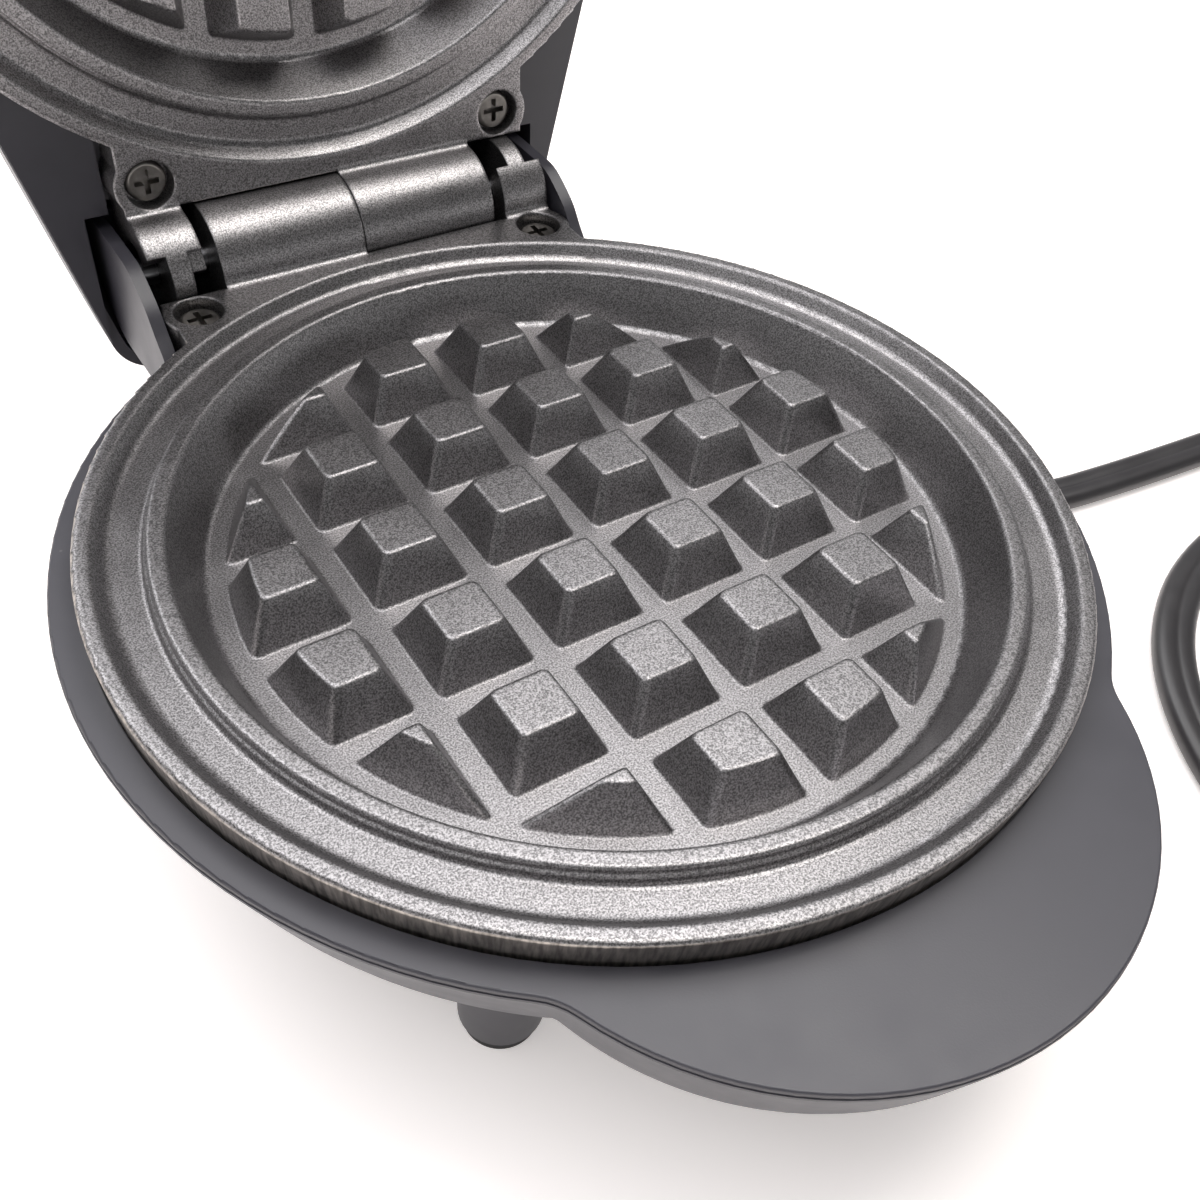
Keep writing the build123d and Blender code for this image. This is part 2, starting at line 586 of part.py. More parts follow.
# Base shell: dish with the handle's scoop, hinge box behind, legs and screw wells below
with BuildPart() as base_shell:
    with BuildSketch(Plane.XZ):
        draw_dish(SHELL_R, SIDE_TOP, SIDE_LEAN, BASE_BOTTOM, DISH_BEND, SHELL_RIM)
    revolve(axis=Axis.Z)
    with BuildSketch(Plane.XZ.offset(-LOBE_Y)):
        draw_dish(LOBE_R, SIDE_TOP, LOBE_LEAN, LOBE_BOTTOM, LOBE_BEND, SHELL_RIM)
    revolve(axis=Axis((0, LOBE_Y, 0), (0, 0, 1)))
    add_blend(SHELL_RIM)
    with BuildSketch(Plane.XY.offset(BASE_BOTTOM)):
        with Locations((0, BOX_REAR)):
            RectangleRounded(2 * BOX_HALF, 40, 5, align=(Align.CENTER, Align.MAX))
    extrude(amount=BOX_TOP - BASE_BOTTOM)
    with BuildSketch(Plane.XY.offset(FOOT_H)):
        with Locations(*FOOT_PLACES):
            Circle(LEG_R)
    extrude(amount=12, taper=-1.5)
    add(base_room.part, mode=Mode.SUBTRACT)
    with BuildSketch(Plane.XY.offset(DECK_BOTTOM)):
        draw_outline(LIP_BAND, LIP_BAND)
    extrude(amount=10, mode=Mode.SUBTRACT)
    with BuildSketch(Plane.XY.offset(BOX_TOP)):
        draw_bay(CHEEK_OUT + 0.1, CHEEK_FRONT - 0.1, Mode.ADD)
    extrude(amount=20, mode=Mode.SUBTRACT)
    with Locations((SCREW_X, SCREW_Y, BOX_TOP), (-SCREW_X, SCREW_Y, BOX_TOP)):
        Hole(SCREW_HOLE_R, depth=BOX_TOP - SCREW_SEAT + PLATE_SCREW_L + 0.1)
    with BuildSketch(Plane.XY.offset(DECK_SCREW_SEAT)):
        with Locations(*DECK_SCREWS):
            Circle(SCREW_HOLE_R)
    extrude(amount=8, mode=Mode.SUBTRACT)
    with BuildSketch(Plane.XY.offset(BASE_BOTTOM)):
        with Locations(*DECK_SCREWS):
            Circle(DECK_HEAD_R + 0.2)
    extrude(amount=DECK_SCREW_SEAT - BASE_BOTTOM, mode=Mode.SUBTRACT)
    with BuildSketch(Plane.XY.offset(HANDLE_SCREW_SEAT)):
        with Locations(*HANDLE_SCREW):
            Circle(SCREW_HOLE_R)
    extrude(amount=8, mode=Mode.SUBTRACT)
    with BuildSketch(Plane.XY.offset(BASE_BOTTOM)):
        with Locations(*HANDLE_SCREW):
            Circle(DECK_HEAD_R + 0.2)
    extrude(amount=HANDLE_SCREW_SEAT - BASE_BOTTOM, mode=Mode.SUBTRACT)
    with BuildSketch(Plane.XY.offset(FOOT_H)):
        with Locations(*FOOT_PLACES):
            Circle(FOOT_STEM_R + 0.05)
    extrude(amount=5, mode=Mode.SUBTRACT)

    with BuildSketch(Plane.XY.offset(CORD_CLAMP_Z)):
        with Locations(*CORD_CLAMP_SCREWS):
            Circle(SCREW_HOLE_R)
    extrude(amount=-6, mode=Mode.SUBTRACT)
    with BuildSketch(Plane.XZ.offset(-BOX_REAR - 1)):
        with Locations((EXIT_X, EXIT_Z)):
            RectangleRounded(RELIEF_W + 0.1, RELIEF_T + 0.1, 3)
    extrude(amount=WALL + 1.5, mode=Mode.SUBTRACT)


def draw_cover(skin):
    """Plan of the lid's hinge cover, narrower towards the rear."""
    with BuildSketch(mode=Mode.PRIVATE) as plan:
        Polygon(
            (-COVER_FRONT[0] + skin, COVER_FRONT[1]),
            (-COVER_REAR[0] + skin, COVER_REAR[1] - skin),
            (COVER_REAR[0] - skin, COVER_REAR[1] - skin),
            (COVER_FRONT[0] - skin, COVER_FRONT[1]),
            align=None,
        )
        fillet(plan.vertices().group_by(Axis.Y)[-1], COVER_CORNER_R - skin)
    add(plan.sketch)


def draw_cover_side(skin, rim):
    """Side section of the hinge cover, round about the hinge line."""
    radius = COVER_R - skin
    with Locations((AXIS_Y, AXIS_Z)):
        Circle(radius)
    with Locations((AXIS_Y, AXIS_Z - radius)):
        Rectangle(40, radius, align=(Align.MAX, Align.MIN))
    with Locations((AXIS_Y, rim)):
        Rectangle(120, 60, align=(Align.CENTER, Align.MIN), mode=Mode.SUBTRACT)


# Room inside the lid's hinge cover, and the cover's outside
with BuildPart() as cover_room:
    with BuildSketch(Plane.XY.offset(DECK_TOP)):
        draw_cover(COVER_WALL)
    extrude(amount=-20, taper=2)
    with BuildSketch(Plane.YZ.offset(-60)):
        draw_cover_side(WALL, DECK_TOP)
    extrude(amount=120, mode=Mode.INTERSECT)

with BuildPart() as cover_outside:
    with BuildSketch(Plane.XY.offset(SHELL_RIM)):
        draw_cover(0)
    extrude(amount=-20, taper=2)
    with BuildSketch(Plane.YZ.offset(-60)):
        draw_cover_side(0, SHELL_RIM)
    extrude(amount=120, mode=Mode.INTERSECT)

# Room inside the lid shell, less the posts for the plate screws
with BuildPart() as lid_room:
    with BuildSketch(Plane.XZ):
        draw_dish(SHELL_R, LID_SIDE_TOP, LID_LEAN, LID_BOTTOM, LID_BEND, DECK_TOP, WALL)
    revolve(axis=Axis.Z)
    with BuildSketch(Plane.XZ.offset(-LOBE_Y)):
        draw_dish(LOBE_R, SIDE_TOP, LOBE_LEAN, LOBE_BOTTOM, LOBE_BEND, DECK_TOP, WALL)
    revolve(axis=Axis((0, LOBE_Y, 0), (0, 0, 1)))
    add(cover_room.part)
    with BuildSketch(Plane.XY.offset(LID_BOTTOM)):
        with Locations((SCREW_X, SCREW_Y), (-SCREW_X, SCREW_Y)):
            Circle(PLATE_POST_R)
    extrude(amount=TAB_BOTTOM - 0.1 - LID_BOTTOM, mode=Mode.SUBTRACT)

# Lid shell: dome, handle and hinge cover, hollow, with a hole for the lens
with BuildPart() as lid_shell:
    with BuildSketch(Plane.XZ):
        draw_dish(SHELL_R, LID_SIDE_TOP, LID_LEAN, LID_BOTTOM, LID_BEND, SHELL_RIM)
    revolve(axis=Axis.Z)
    with BuildSketch(Plane.XZ.offset(-LOBE_Y)):
        draw_dish(LOBE_R, SIDE_TOP, LOBE_LEAN, LOBE_BOTTOM, LOBE_BEND, SHELL_RIM)
    revolve(axis=Axis((0, LOBE_Y, 0), (0, 0, 1)))
    add_blend(SHELL_RIM)
    add(cover_outside.part)
    add(lid_room.part, mode=Mode.SUBTRACT)
    with BuildSketch(Plane.XY.offset(DECK_BOTTOM)):
        draw_outline(LIP_BAND, LIP_BAND)
        draw_cover(LIP_BAND)
    extrude(amount=10, mode=Mode.SUBTRACT)
    with Locations((0, LENS_Y, LID_BOTTOM)):
        Cylinder(LENS_R + 0.1, 10, mode=Mode.SUBTRACT)
    with Locations((SCREW_X, SCREW_Y, TAB_BOTTOM), (-SCREW_X, SCREW_Y, TAB_BOTTOM)):
        Hole(SCREW_HOLE_R, depth=TAB_BOTTOM - SCREW_SEAT + PLATE_SCREW_L + 0.1)

# Lid deck: rim around the plate, handle face, open behind for the hinge
with BuildPart() as lid_deck:
    with BuildSketch(Plane.XY.offset(FLANGE_BOTTOM)):
        draw_outline(DECK_INSET, DECK_INSET)
        draw_cover(DECK_INSET)
    extrude(amount=DECK_TOP - FLANGE_BOTTOM)
    with BuildSketch(Plane.XY.offset(DECK_BOTTOM)):
        draw_outline(LIP_BAND + 0.1, LIP_BAND + 0.1)
        draw_cover(LIP_BAND + 0.1)
    extrude(amount=FLANGE_BOTTOM - DECK_BOTTOM)
    with BuildSketch(Plane.XY.offset(PLATE_SEAT - 1.8)):
        Circle(LEDGE_OUT_R)
    extrude(amount=1.8)
    with BuildSketch(Plane.XY.offset(PLATE_SEAT)):
        Circle(DECK_BORE_R)
    extrude(amount=10, mode=Mode.SUBTRACT)
    with BuildSketch(Plane.XY.offset(PLATE_SEAT - 10)):
        Circle(LEDGE_IN_R)
        draw_bay(EAR_BAY_HALF, CHEEK_FRONT, Mode.ADD)
        draw_bay(LID_BAY_HALF, LID_BAY_Y, Mode.ADD)
    extrude(amount=30, mode=Mode.SUBTRACT)
    with BuildSketch(Plane.XY.offset(TAB_BOTTOM)):
        with Locations((TAB_IN, BAY_FRONT)):
            Rectangle(EAR_BAY_HALF - TAB_IN + 2, EAR_END_Y - BAY_FRONT, align=(Align.MIN, Align.MIN))
        with Locations((-TAB_IN, BAY_FRONT)):
            Rectangle(EAR_BAY_HALF - TAB_IN + 2, EAR_END_Y - BAY_FRONT, align=(Align.MAX, Align.MIN))
        Circle(LIP_IN_R + 4.3, mode=Mode.SUBTRACT)
    extrude(amount=PLATE_SEAT - TAB_BOTTOM)
    with Locations((SCREW_X, SCREW_Y, PLATE_SEAT), (-SCREW_X, SCREW_Y, PLATE_SEAT)):
        Cylinder(SCREW_HOLE_R, 12, mode=Mode.SUBTRACT)


def draw_screw(head_r, head_t, radius, length):
    """Pan-head screw on its seat, head up, shank down."""
    Cylinder(head_r, head_t, align=(Align.CENTER, Align.CENTER, Align.MIN))
    Cylinder(radius, length, align=(Align.CENTER, Align.CENTER, Align.MAX))


# Screws driven up from below, head down
with BuildPart() as deck_screws:
    with Locations(*[Location((x, y, DECK_SCREW_SEAT), (180, 0, 0)) for x, y in DECK_SCREWS]):
        draw_screw(DECK_HEAD_R, 1.8, SCREW_R, 6.5)
    with Locations(*[Location((x, y, HANDLE_SCREW_SEAT), (180, 0, 0)) for x, y in HANDLE_SCREW]):
        draw_screw(DECK_HEAD_R, 1.8, SCREW_R, 6)

with BuildPart() as clamp_screws:
    with PolarLocations(CLAMP_SCREWS_R, 3, start_angle=-90):
        with Locations(Location((0, 0, REFLECTOR_TOP - REFLECTOR_T), (180, 0, 0))):
            draw_screw(SCREW_HEAD_R, 1.6, SCREW_R, 9)

# Feet: rubber pads with a stem pushed into the leg
with BuildPart() as foot:
    Cylinder(FOOT_R, FOOT_H, align=(Align.CENTER, Align.CENTER, Align.MIN))
    fillet(foot.edges().group_by(Axis.Z)[0], 0.8)
    with Locations((0, 0, FOOT_H)):
        Cylinder(FOOT_STEM_R, 4, align=(Align.CENTER, Align.CENTER, Align.MIN))

# Tubular heater bent to an open ring, with a pin at each end
with BuildPart() as heater:
    with BuildLine(Plane.XY.offset(HEATER_Z)) as heater_path:
        CenterArc((0, 0), HEATER_R, 90 + HEATER_GAP / 2, 360 - HEATER_GAP)
    with BuildSketch(Plane(origin=heater_path.line @ 0, z_dir=heater_path.line % 0)):
        Circle(TUBE_R)
    sweep()
with BuildPart() as heater_pins:
    for end, way in ((0, -1), (1, 1)):
        with BuildSketch(Plane(origin=heater_path.line @ end, z_dir=(heater_path.line % end) * way)):
            Circle(1.2)
        extrude(amount=5)

# Clamp ring that presses the heater to the casting, and the reflector under it
with BuildPart() as clamp_ring:
    with BuildSketch(Plane.XY.offset(CLAMP_TOP)):
        Circle(43)
        Circle(20, mode=Mode.SUBTRACT)
        draw_bay(NOTCH_HALF, 10, Mode.SUBTRACT)
        with PolarLocations(CLAMP_SCREWS_R, 3, start_angle=-90):
            Circle(SCREW_HOLE_R + 0.2, mode=Mode.SUBTRACT)
    extrude(amount=-CLAMP_T)
with BuildPart() as reflector:
    with BuildSketch(Plane.XY.offset(REFLECTOR_TOP)):
        Circle(49.5)
    extrude(amount=-REFLECTOR_T)
    with BuildSketch(Plane.XY.offset(REFLECTOR_TOP - REFLECTOR_T)):
        Circle(49.5)
        Circle(48.7, mode=Mode.SUBTRACT)
    extrude(amount=6.0)
    with BuildSketch(Plane.XY.offset(REFLECTOR_TOP - REFLECTOR_T)):
        Circle(17)
        draw_bay(NOTCH_HALF, 10, Mode.ADD)
        with PolarLocations(CLAMP_SCREWS_R, 3, start_angle=-90):
            Circle(SCREW_HOLE_R + 0.2)
    extrude(amount=10, mode=Mode.SUBTRACT)

# Thermostat on the underside of the lower plate
with BuildPart() as thermostat:
    with Locations((0, 0, PLATE_UNDER - 4)):
        Cylinder(7.9, 3.95, align=(Align.CENTER, Align.CENTER, Align.MIN))
        Cylinder(8.2, 7.5, align=(Align.CENTER, Align.CENTER, Align.MAX))
    with BuildSketch(Plane.XY.offset(PLATE_UNDER - 4.8)):
        SlotOverall(31, 6.4)
        with Locations((12.5, 0), (-12.5, 0)):
            Circle(SCREW_HOLE_R + 0.1, mode=Mode.SUBTRACT)
    extrude(amount=0.8)
    with Locations((4.6, 0, PLATE_UNDER - 11.5), (-4.6, 0, PLATE_UNDER - 11.5)):
        Box(0.8, 4.8, 4.5, align=(Align.CENTER, Align.CENTER, Align.MAX))
with BuildPart() as thermostat_screws:
    with Locations(*[Location((x, 0, PLATE_UNDER - 4.8), (180, 0, 0)) for x in (12.5, -12.5)]):
        draw_screw(2.6, 1.5, SCREW_R, 5.5)

# Thermal fuse under the plate, in the gap of the heater, with its strap
with BuildPart() as thermal_fuse:
    with Locations(Location((0, FUSE_Y, FUSE_Z), (0, 90, 0))):
        Cylinder(FUSE_R, 13)
        Cylinder(0.6, 22)
with BuildPart() as fuse_strap:
    with BuildSketch(Plane.YZ.offset(-2.5)):
        with Locations((FUSE_Y, FUSE_Z)):
            Circle(FUSE_R + 0.85)
            Rectangle(2 * FUSE_R + 1.7, FUSE_R, align=(Align.CENTER, Align.MIN))
            Circle(FUSE_R + 0.05, mode=Mode.SUBTRACT)
            Rectangle(2 * FUSE_R + 0.1, FUSE_R + 5, align=(Align.CENTER, Align.MIN), mode=Mode.SUBTRACT)
        with Locations((FUSE_Y - FUSE_R, PLATE_UNDER)):
            Rectangle(7, 0.8, align=(Align.MAX, Align.MAX))
        with Locations((FUSE_Y, PLATE_UNDER)):
            Rectangle(30, 10, align=(Align.CENTER, Align.MIN), mode=Mode.SUBTRACT)
    extrude(amount=5)
    with Locations((0, FUSE_SCREW_Y, PLATE_UNDER)):
        Cylinder(SCREW_HOLE_R, 5, mode=Mode.SUBTRACT)
with BuildPart() as fuse_screw:
    with Locations(Location((0, FUSE_SCREW_Y, PLATE_UNDER - 0.8), (180, 0, 0))):
        draw_screw(2.4, 1.4, SCREW_R, 3)

# Lens, lamp and its holder in the lid
with BuildPart() as lens:
    with Locations((0, LENS_Y, LID_BOTTOM - 0.6)):
        Cylinder(LENS_R, WALL + 0.6, align=(Align.CENTER, Align.CENTER, Align.MIN))
    fillet(lens.edges().group_by(Axis.Z)[0], 0.5)
    with Locations((0, LENS_Y, LID_BOTTOM + WALL)):
        Cylinder(LENS_R + 1.2, 1.2, align=(Align.CENTER, Align.CENTER, Align.MIN))
with BuildPart() as lamp_holder:
    with Locations((0, LENS_Y, LID_BOTTOM + WALL + 1.2)):
        Cylinder(LENS_R + 1.2, 7, align=(Align.CENTER, Align.CENTER, Align.MIN))
        Cylinder(2.3, 30, mode=Mode.SUBTRACT)
with BuildPart() as lamp:
    with Locations((0, LENS_Y, LID_BOTTOM + WALL + 2.5)):
        Cylinder(2.25, 8, align=(Align.CENTER, Align.CENTER, Align.MIN))
    fillet(lamp.edges().group_by(Axis.Z)[0], 1.6)

# Cord clamp in the base, the cord's screws and the tapered strain relief
with BuildPart() as cord_clamp:
    with BuildSketch(Plane.XY.offset(CORD_CLAMP_Z)):
        with Locations((EXIT_X, CORD_CLAMP_Y)):
            SlotOverall(17.4, 4.6)
        with Locations(*CORD_CLAMP_SCREWS):
            Circle(SCREW_HOLE_R + 0.1, mode=Mode.SUBTRACT)
    extrude(amount=2)
with BuildPart() as cord_clamp_screws:
    with Locations(*[(x, y, CORD_CLAMP_Z + 2) for x, y in CORD_CLAMP_SCREWS]):
        draw_screw(2.2, 1.4, SCREW_R, 7)


def draw_cord_section(margin):
    """Flat twin lead, flat side down."""
    SlotOverall(CORD_W + 2 * margin, CORD_T + 2 * margin)


with BuildPart() as strain_relief:
    with BuildSketch(Plane.XZ.offset(-BOX_REAR + WALL)):
        with Locations((EXIT_X, EXIT_Z)):
            RectangleRounded(RELIEF_W + 3, RELIEF_T + 0.3, 1.5)
    extrude(amount=1.5)
    with BuildSketch(Plane.XZ.offset(-BOX_REAR + WALL)):
        with Locations((EXIT_X, EXIT_Z)):
            RectangleRounded(RELIEF_W, RELIEF_T, 3)
    extrude(amount=-WALL - 1)
    with BuildSketch(Plane.XZ.offset(-BOX_REAR - 1)):
        with Locations((EXIT_X, EXIT_Z)):
            RectangleRounded(RELIEF_W, RELIEF_T, 3)
    with BuildSketch(Plane.XZ.offset(-BOX_REAR - RELIEF_L)):
        with Locations((EXIT_X, EXIT_Z)):
            RectangleRounded(CORD_W + 1.8, CORD_T + 1.8, 2.5)
    loft()
    with BuildSketch(Plane.XZ.offset(-BOX_REAR - RELIEF_L - 1)):
        with Locations((EXIT_X, EXIT_Z)):
            draw_cord_section(0.05)
    extrude(amount=RELIEF_L + 10, mode=Mode.SUBTRACT)

# Lead: flat twin cord from the clamp to the coil, laid on the table
def bend_radii(points):
    """Radius of the bend at each inner point, as large as its two runs allow."""
    radii = []
    for before, here, after in zip(points, points[1:], points[2:]):
        come = [b - a for a, b in zip(before, here)]
        go = [b - a for a, b in zip(here, after)]
        come_length = sqrt(sum(c * c for c in come))
        go_length = sqrt(sum(g * g for g in go))
        dot = sum(c * g for c, g in zip(come, go)) / (come_length * go_length)
        radii.append(0.45 * min(come_length, go_length) / tan(acos(dot) / 2))
    return radii


route = list(ROUTE_IN_AIR) + [(x, y, FLOOR_LINE) for x, y in ROUTE_ON_TABLE]
with BuildLine() as cord_path:
    cord_wire = FilletPolyline(*route, radius=bend_radii(route))
with BuildPart() as cord_lead:
    with BuildSketch(Plane(origin=cord_wire @ 0, x_dir=(1, 0, 0), z_dir=cord_wire % 0)):
        draw_cord_section(0)
    sweep(path=cord_path.line)
cord_area = (CORD_W - CORD_T) * CORD_T + pi * CORD_T**2 / 4
print("lead's bend radii", [round(r, 1) for r in bend_radii(route)])
print("lead", round(cord_wire.length), "volume / section x length", cord_lead.part.volume / cord_area / cord_wire.length)


def draw_rise(start_x, end_x, y, low, high):
    """S-bend upwards in a lead that runs towards -X: two equal arcs in a vertical plane."""
    middle = ((start_x + end_x) / 2, y, (low + high) / 2)
    length = start_x - end_x
    height = high - low
    radius = (length**2 + height**2) / (4 * height)
    turn = acos(1 - height / 2 / radius)
    first = (start_x - radius * sin(turn / 2), y, low + radius * (1 - cos(turn / 2)))
    second = (end_x + radius * sin(turn / 2), y, high - radius * (1 - cos(turn / 2)))
    ThreePointArc((start_x, y, low), first, middle)
    ThreePointArc(middle, second, (end_x, y, high))


def draw_half_turn(x, start_y, end_y, side):
    """Half a turn of the coil on the table, out to one side."""
    middle_x = x + side * abs(start_y - end_y) / 2
    ThreePointArc(
        (x, start_y, FLOOR_LINE),
        (middle_x, (start_y + end_y) / 2, FLOOR_LINE),
        (x, end_y, FLOOR_LINE),
    )


# Coil: turns beside each other on the table, the end led out over them to the plug
with BuildLine() as coil_path:
    Line(route[-1], (COIL_RIGHT_X, route[-1][1], FLOOR_LINE))
    draw_half_turn(COIL_RIGHT_X, route[-1][1], COIL_BOTTOM_Y, 1)
    Line((COIL_RIGHT_X, COIL_BOTTOM_Y, FLOOR_LINE), (COIL_LEFT_X, COIL_BOTTOM_Y, FLOOR_LINE))
    draw_half_turn(COIL_LEFT_X, COIL_BOTTOM_Y, COIL_TOP_Y, -1)
    Line((COIL_LEFT_X, COIL_TOP_Y, FLOOR_LINE), (COIL_RIGHT_X, COIL_TOP_Y, FLOOR_LINE))
    draw_half_turn(COIL_RIGHT_X, COIL_TOP_Y, COIL_END_Y, 1)
    Line((COIL_RIGHT_X, COIL_END_Y, FLOOR_LINE), (CROSSING_X[0], COIL_END_Y, FLOOR_LINE))
    draw_rise(CROSSING_X[0], CROSSING_X[1], COIL_END_Y, FLOOR_LINE, CROSSING_Z)
    Line((CROSSING_X[1], COIL_END_Y, CROSSING_Z), (PLUG_RISE_X[0], COIL_END_Y, CROSSING_Z))
    draw_rise(PLUG_RISE_X[0], PLUG_RISE_X[1], COIL_END_Y, CROSSING_Z, PLUG_T / 2)
    Line((PLUG_RISE_X[1], COIL_END_Y, PLUG_T / 2), (PLUG_X, COIL_END_Y, PLUG_T / 2))
with BuildPart() as cord_coil:
    with BuildSketch(Plane(origin=route[-1], x_dir=(0, -1, 0), z_dir=(1, 0, 0))):
        draw_cord_section(0)
    sweep(path=coil_path.line)
coil_length = sum(e.length for e in coil_path.edges())
print("coil", round(coil_length), "volume / section x length", cord_coil.part.volume / cord_area / coil_length)


def least_gap(wires):
    """Least clear space between stretches of the flat lead that aren't next to each other."""
    marks = []
    along = 0
    for wire in wires:
        count = int(wire.length / 3)
        for i in range(count + 1):
            marks.append((along + wire.length * i / count, wire @ (i / count)))
        along += wire.length
    gap = 1000
    for i, (at, here) in enumerate(marks):
        for further, there in marks[i + 1 :]:
            if further - at > 60:
                beside = hypot(here.X - there.X, here.Y - there.Y) - CORD_W
                above = abs(here.Z - there.Z) - CORD_T
                gap = min(gap, max(beside, above))
    return gap


print("lead's least gap to itself", round(least_gap([cord_wire, coil_path.wires()[0]]), 2))

# Plug: grip that widens from the lead, two flat blades
with BuildPart() as plug_body:
    with BuildSketch(Plane(origin=(PLUG_X, COIL_END_Y, PLUG_T / 2), x_dir=(0, -1, 0), z_dir=(-1, 0, 0))):
        RectangleRounded(CORD_W + 4, CORD_T + 4.4, 3)
    with BuildSketch(Plane(origin=(PLUG_X - 14, COIL_END_Y, PLUG_T / 2), x_dir=(0, -1, 0), z_dir=(-1, 0, 0))):
        RectangleRounded(PLUG_W, PLUG_T, 3)
    loft()
    with BuildSketch(Plane(origin=(PLUG_X - 14, COIL_END_Y, PLUG_T / 2), x_dir=(0, -1, 0), z_dir=(-1, 0, 0))):
        RectangleRounded(PLUG_W, PLUG_T, 3)
    extrude(amount=PLUG_L - 14)
with BuildPart() as plug_blades:
    for side in (-1, 1):
        with BuildSketch(
            Plane(
                origin=(PLUG_X - PLUG_L, COIL_END_Y + side * BLADE_GAP / 2, PLUG_T / 2),
                x_dir=(0, -1, 0),
                z_dir=(-1, 0, 0),
            )
        ):
            Rectangle(1.5, 6.3)
        extrude(amount=BLADE_L)

# Leads inside the base and the lid
CORE_X = EXIT_X + 1.6
FUSE_END_X = 10.6
PIN_UNDER = HEATER_Z - 1.25
BASE_LEADS = (
    (
        (EXIT_X - 1.6, CORD_IN_Y, LEAD_Z),
        (EXIT_X - 1.6, 30, LEAD_Z),
        (-4.6, 20, LEAD_Z),
        (-4.6, 2.4, LEAD_Z),
    ),
    (
        (4.6, 2.4, LEAD_Z),
        (4.6, 22, LEAD_Z),
        (PIN_X, PIN_Y, LEAD_Z + 2),
        (PIN_X, PIN_Y, PIN_UNDER),
    ),
    (
        (-PIN_X, PIN_Y, PIN_UNDER),
        (-PIN_X, PIN_Y, 16.5),
        (-FUSE_END_X, FUSE_Y, 16.5),
        (-FUSE_END_X, FUSE_Y, FUSE_Z - 0.65),
    ),
    (
        (FUSE_END_X, FUSE_Y, FUSE_Z - 0.65),
        (FUSE_END_X, FUSE_Y, LEAD_Z),
        (FUSE_END_X, CONNECTOR_Y, LEAD_Z),
    ),
    (
        (CORE_X, CORD_IN_Y, LEAD_Z),
        (CORE_X, FUSE_Y, LEAD_Z),
        (0, 37, LEAD_Z - 1),
        (FUSE_END_X - 2.5, 41, LEAD_Z),
        (FUSE_END_X - 2.5, CONNECTOR_Y, LEAD_Z),
    ),
)
LAMP_TOP = LID_BOTTOM + WALL + 10.5
LID_LEADS = (
    (
        (-PIN_X, PIN_Y, PIN_UNDER),
        (-PIN_X, PIN_Y, 16.4),
        (-1.3, LENS_Y, 16.4),
        (-1.3, LENS_Y, LAMP_TOP),
    ),
    (
        (PIN_X, PIN_Y, PIN_UNDER),
        (PIN_X, PIN_Y, 16.4),
        (1.3, LENS_Y, 16.4),
        (1.3, LENS_Y, LAMP_TOP),
    ),
)


def draw_lead(points, radius):
    """Round insulated wire along straight runs joined by arcs."""
    with BuildLine() as lead:
        wire = FilletPolyline(*points, radius=bend_radii(points))
    with BuildSketch(Plane(origin=wire @ 0, z_dir=wire % 0)) as section:
        Circle(radius)
    sweep(section.sketch, path=lead.line)


with BuildPart() as base_leads:
    for points in BASE_LEADS:
        draw_lead(points, LEAD_R)
with BuildPart() as lid_leads:
    for points in LID_LEADS:
        draw_lead(points, LAMP_LEAD_R)
with BuildPart() as wire_connector:
    with BuildSketch(Plane.XZ.offset(-CONNECTOR_Y)):
        with Locations((FUSE_END_X - 1.25, LEAD_Z)):
            Circle(CONNECTOR_R)
    extrude(amount=-12)
    fillet(wire_connector.edges().group_by(Axis.Y)[-1], 1.5)

# The written model has the middle of its length on the Z axis
length_middle = (stand_open(lid_shell.part).bounding_box().max.Y + LOBE_Y - LOBE_R) / 2
print("plate centre at y", -length_middle)


def save(piece, name):
    """Label a piece and write it."""
    moved = piece.translate((0, -length_middle, 0))
    moved.label = name
    export_step(moved, f"parts/{name}.step")


for piece, name in (
    (lower_plate, "lower_plate"),
    (lower_plate_screws, "lower_plate_screws"),
    (hinge_pin, "hinge_pin"),
    (base_deck, "base_deck"),
    (base_shell, "base_shell"),
    (deck_screws, "base_deck_screws"),
    (heater, "lower_heater"),
    (heater_pins, "lower_heater_pins"),
    (clamp_ring, "lower_clamp_ring"),
    (clamp_screws, "lower_clamp_screws"),
    (reflector, "lower_reflector"),
    (thermostat, "thermostat"),
    (thermostat_screws, "thermostat_screws"),
    (thermal_fuse, "thermal_fuse"),
    (fuse_strap, "fuse_strap"),
    (fuse_screw, "fuse_screw"),
    (cord_clamp, "cord_clamp"),
    (cord_clamp_screws, "cord_clamp_screws"),
    (strain_relief, "strain_relief"),
    (base_leads, "base_leads"),
    (wire_connector, "wire_connector"),
    (cord_lead, "cord_lead"),
    (cord_coil, "cord_coil"),
    (plug_body, "plug_body"),
    (plug_blades, "plug_blades"),
):
    save(piece.part, name)
for place, name in zip(FOOT_PLACES, ("front_right", "front_left", "rear_right", "rear_left")):
    save(foot.part.translate((place[0], place[1], 0)), f"foot_{name}")
for piece, name in (
    (upper_plate, "upper_plate"),
    (lower_plate_screws, "upper_plate_screws"),
    (lid_deck, "lid_deck"),
    (lid_shell, "lid_shell"),
    (heater, "upper_heater"),
    (heater_pins, "upper_heater_pins"),
    (clamp_ring, "upper_clamp_ring"),
    (clamp_screws, "upper_clamp_screws"),
    (reflector, "upper_reflector"),
    (lens, "indicator_lens"),
    (lamp_holder, "lamp_holder"),
    (lamp, "indicator_lamp"),
    (lid_leads, "lid_leads"),
):
    save(stand_open(piece.part), name)
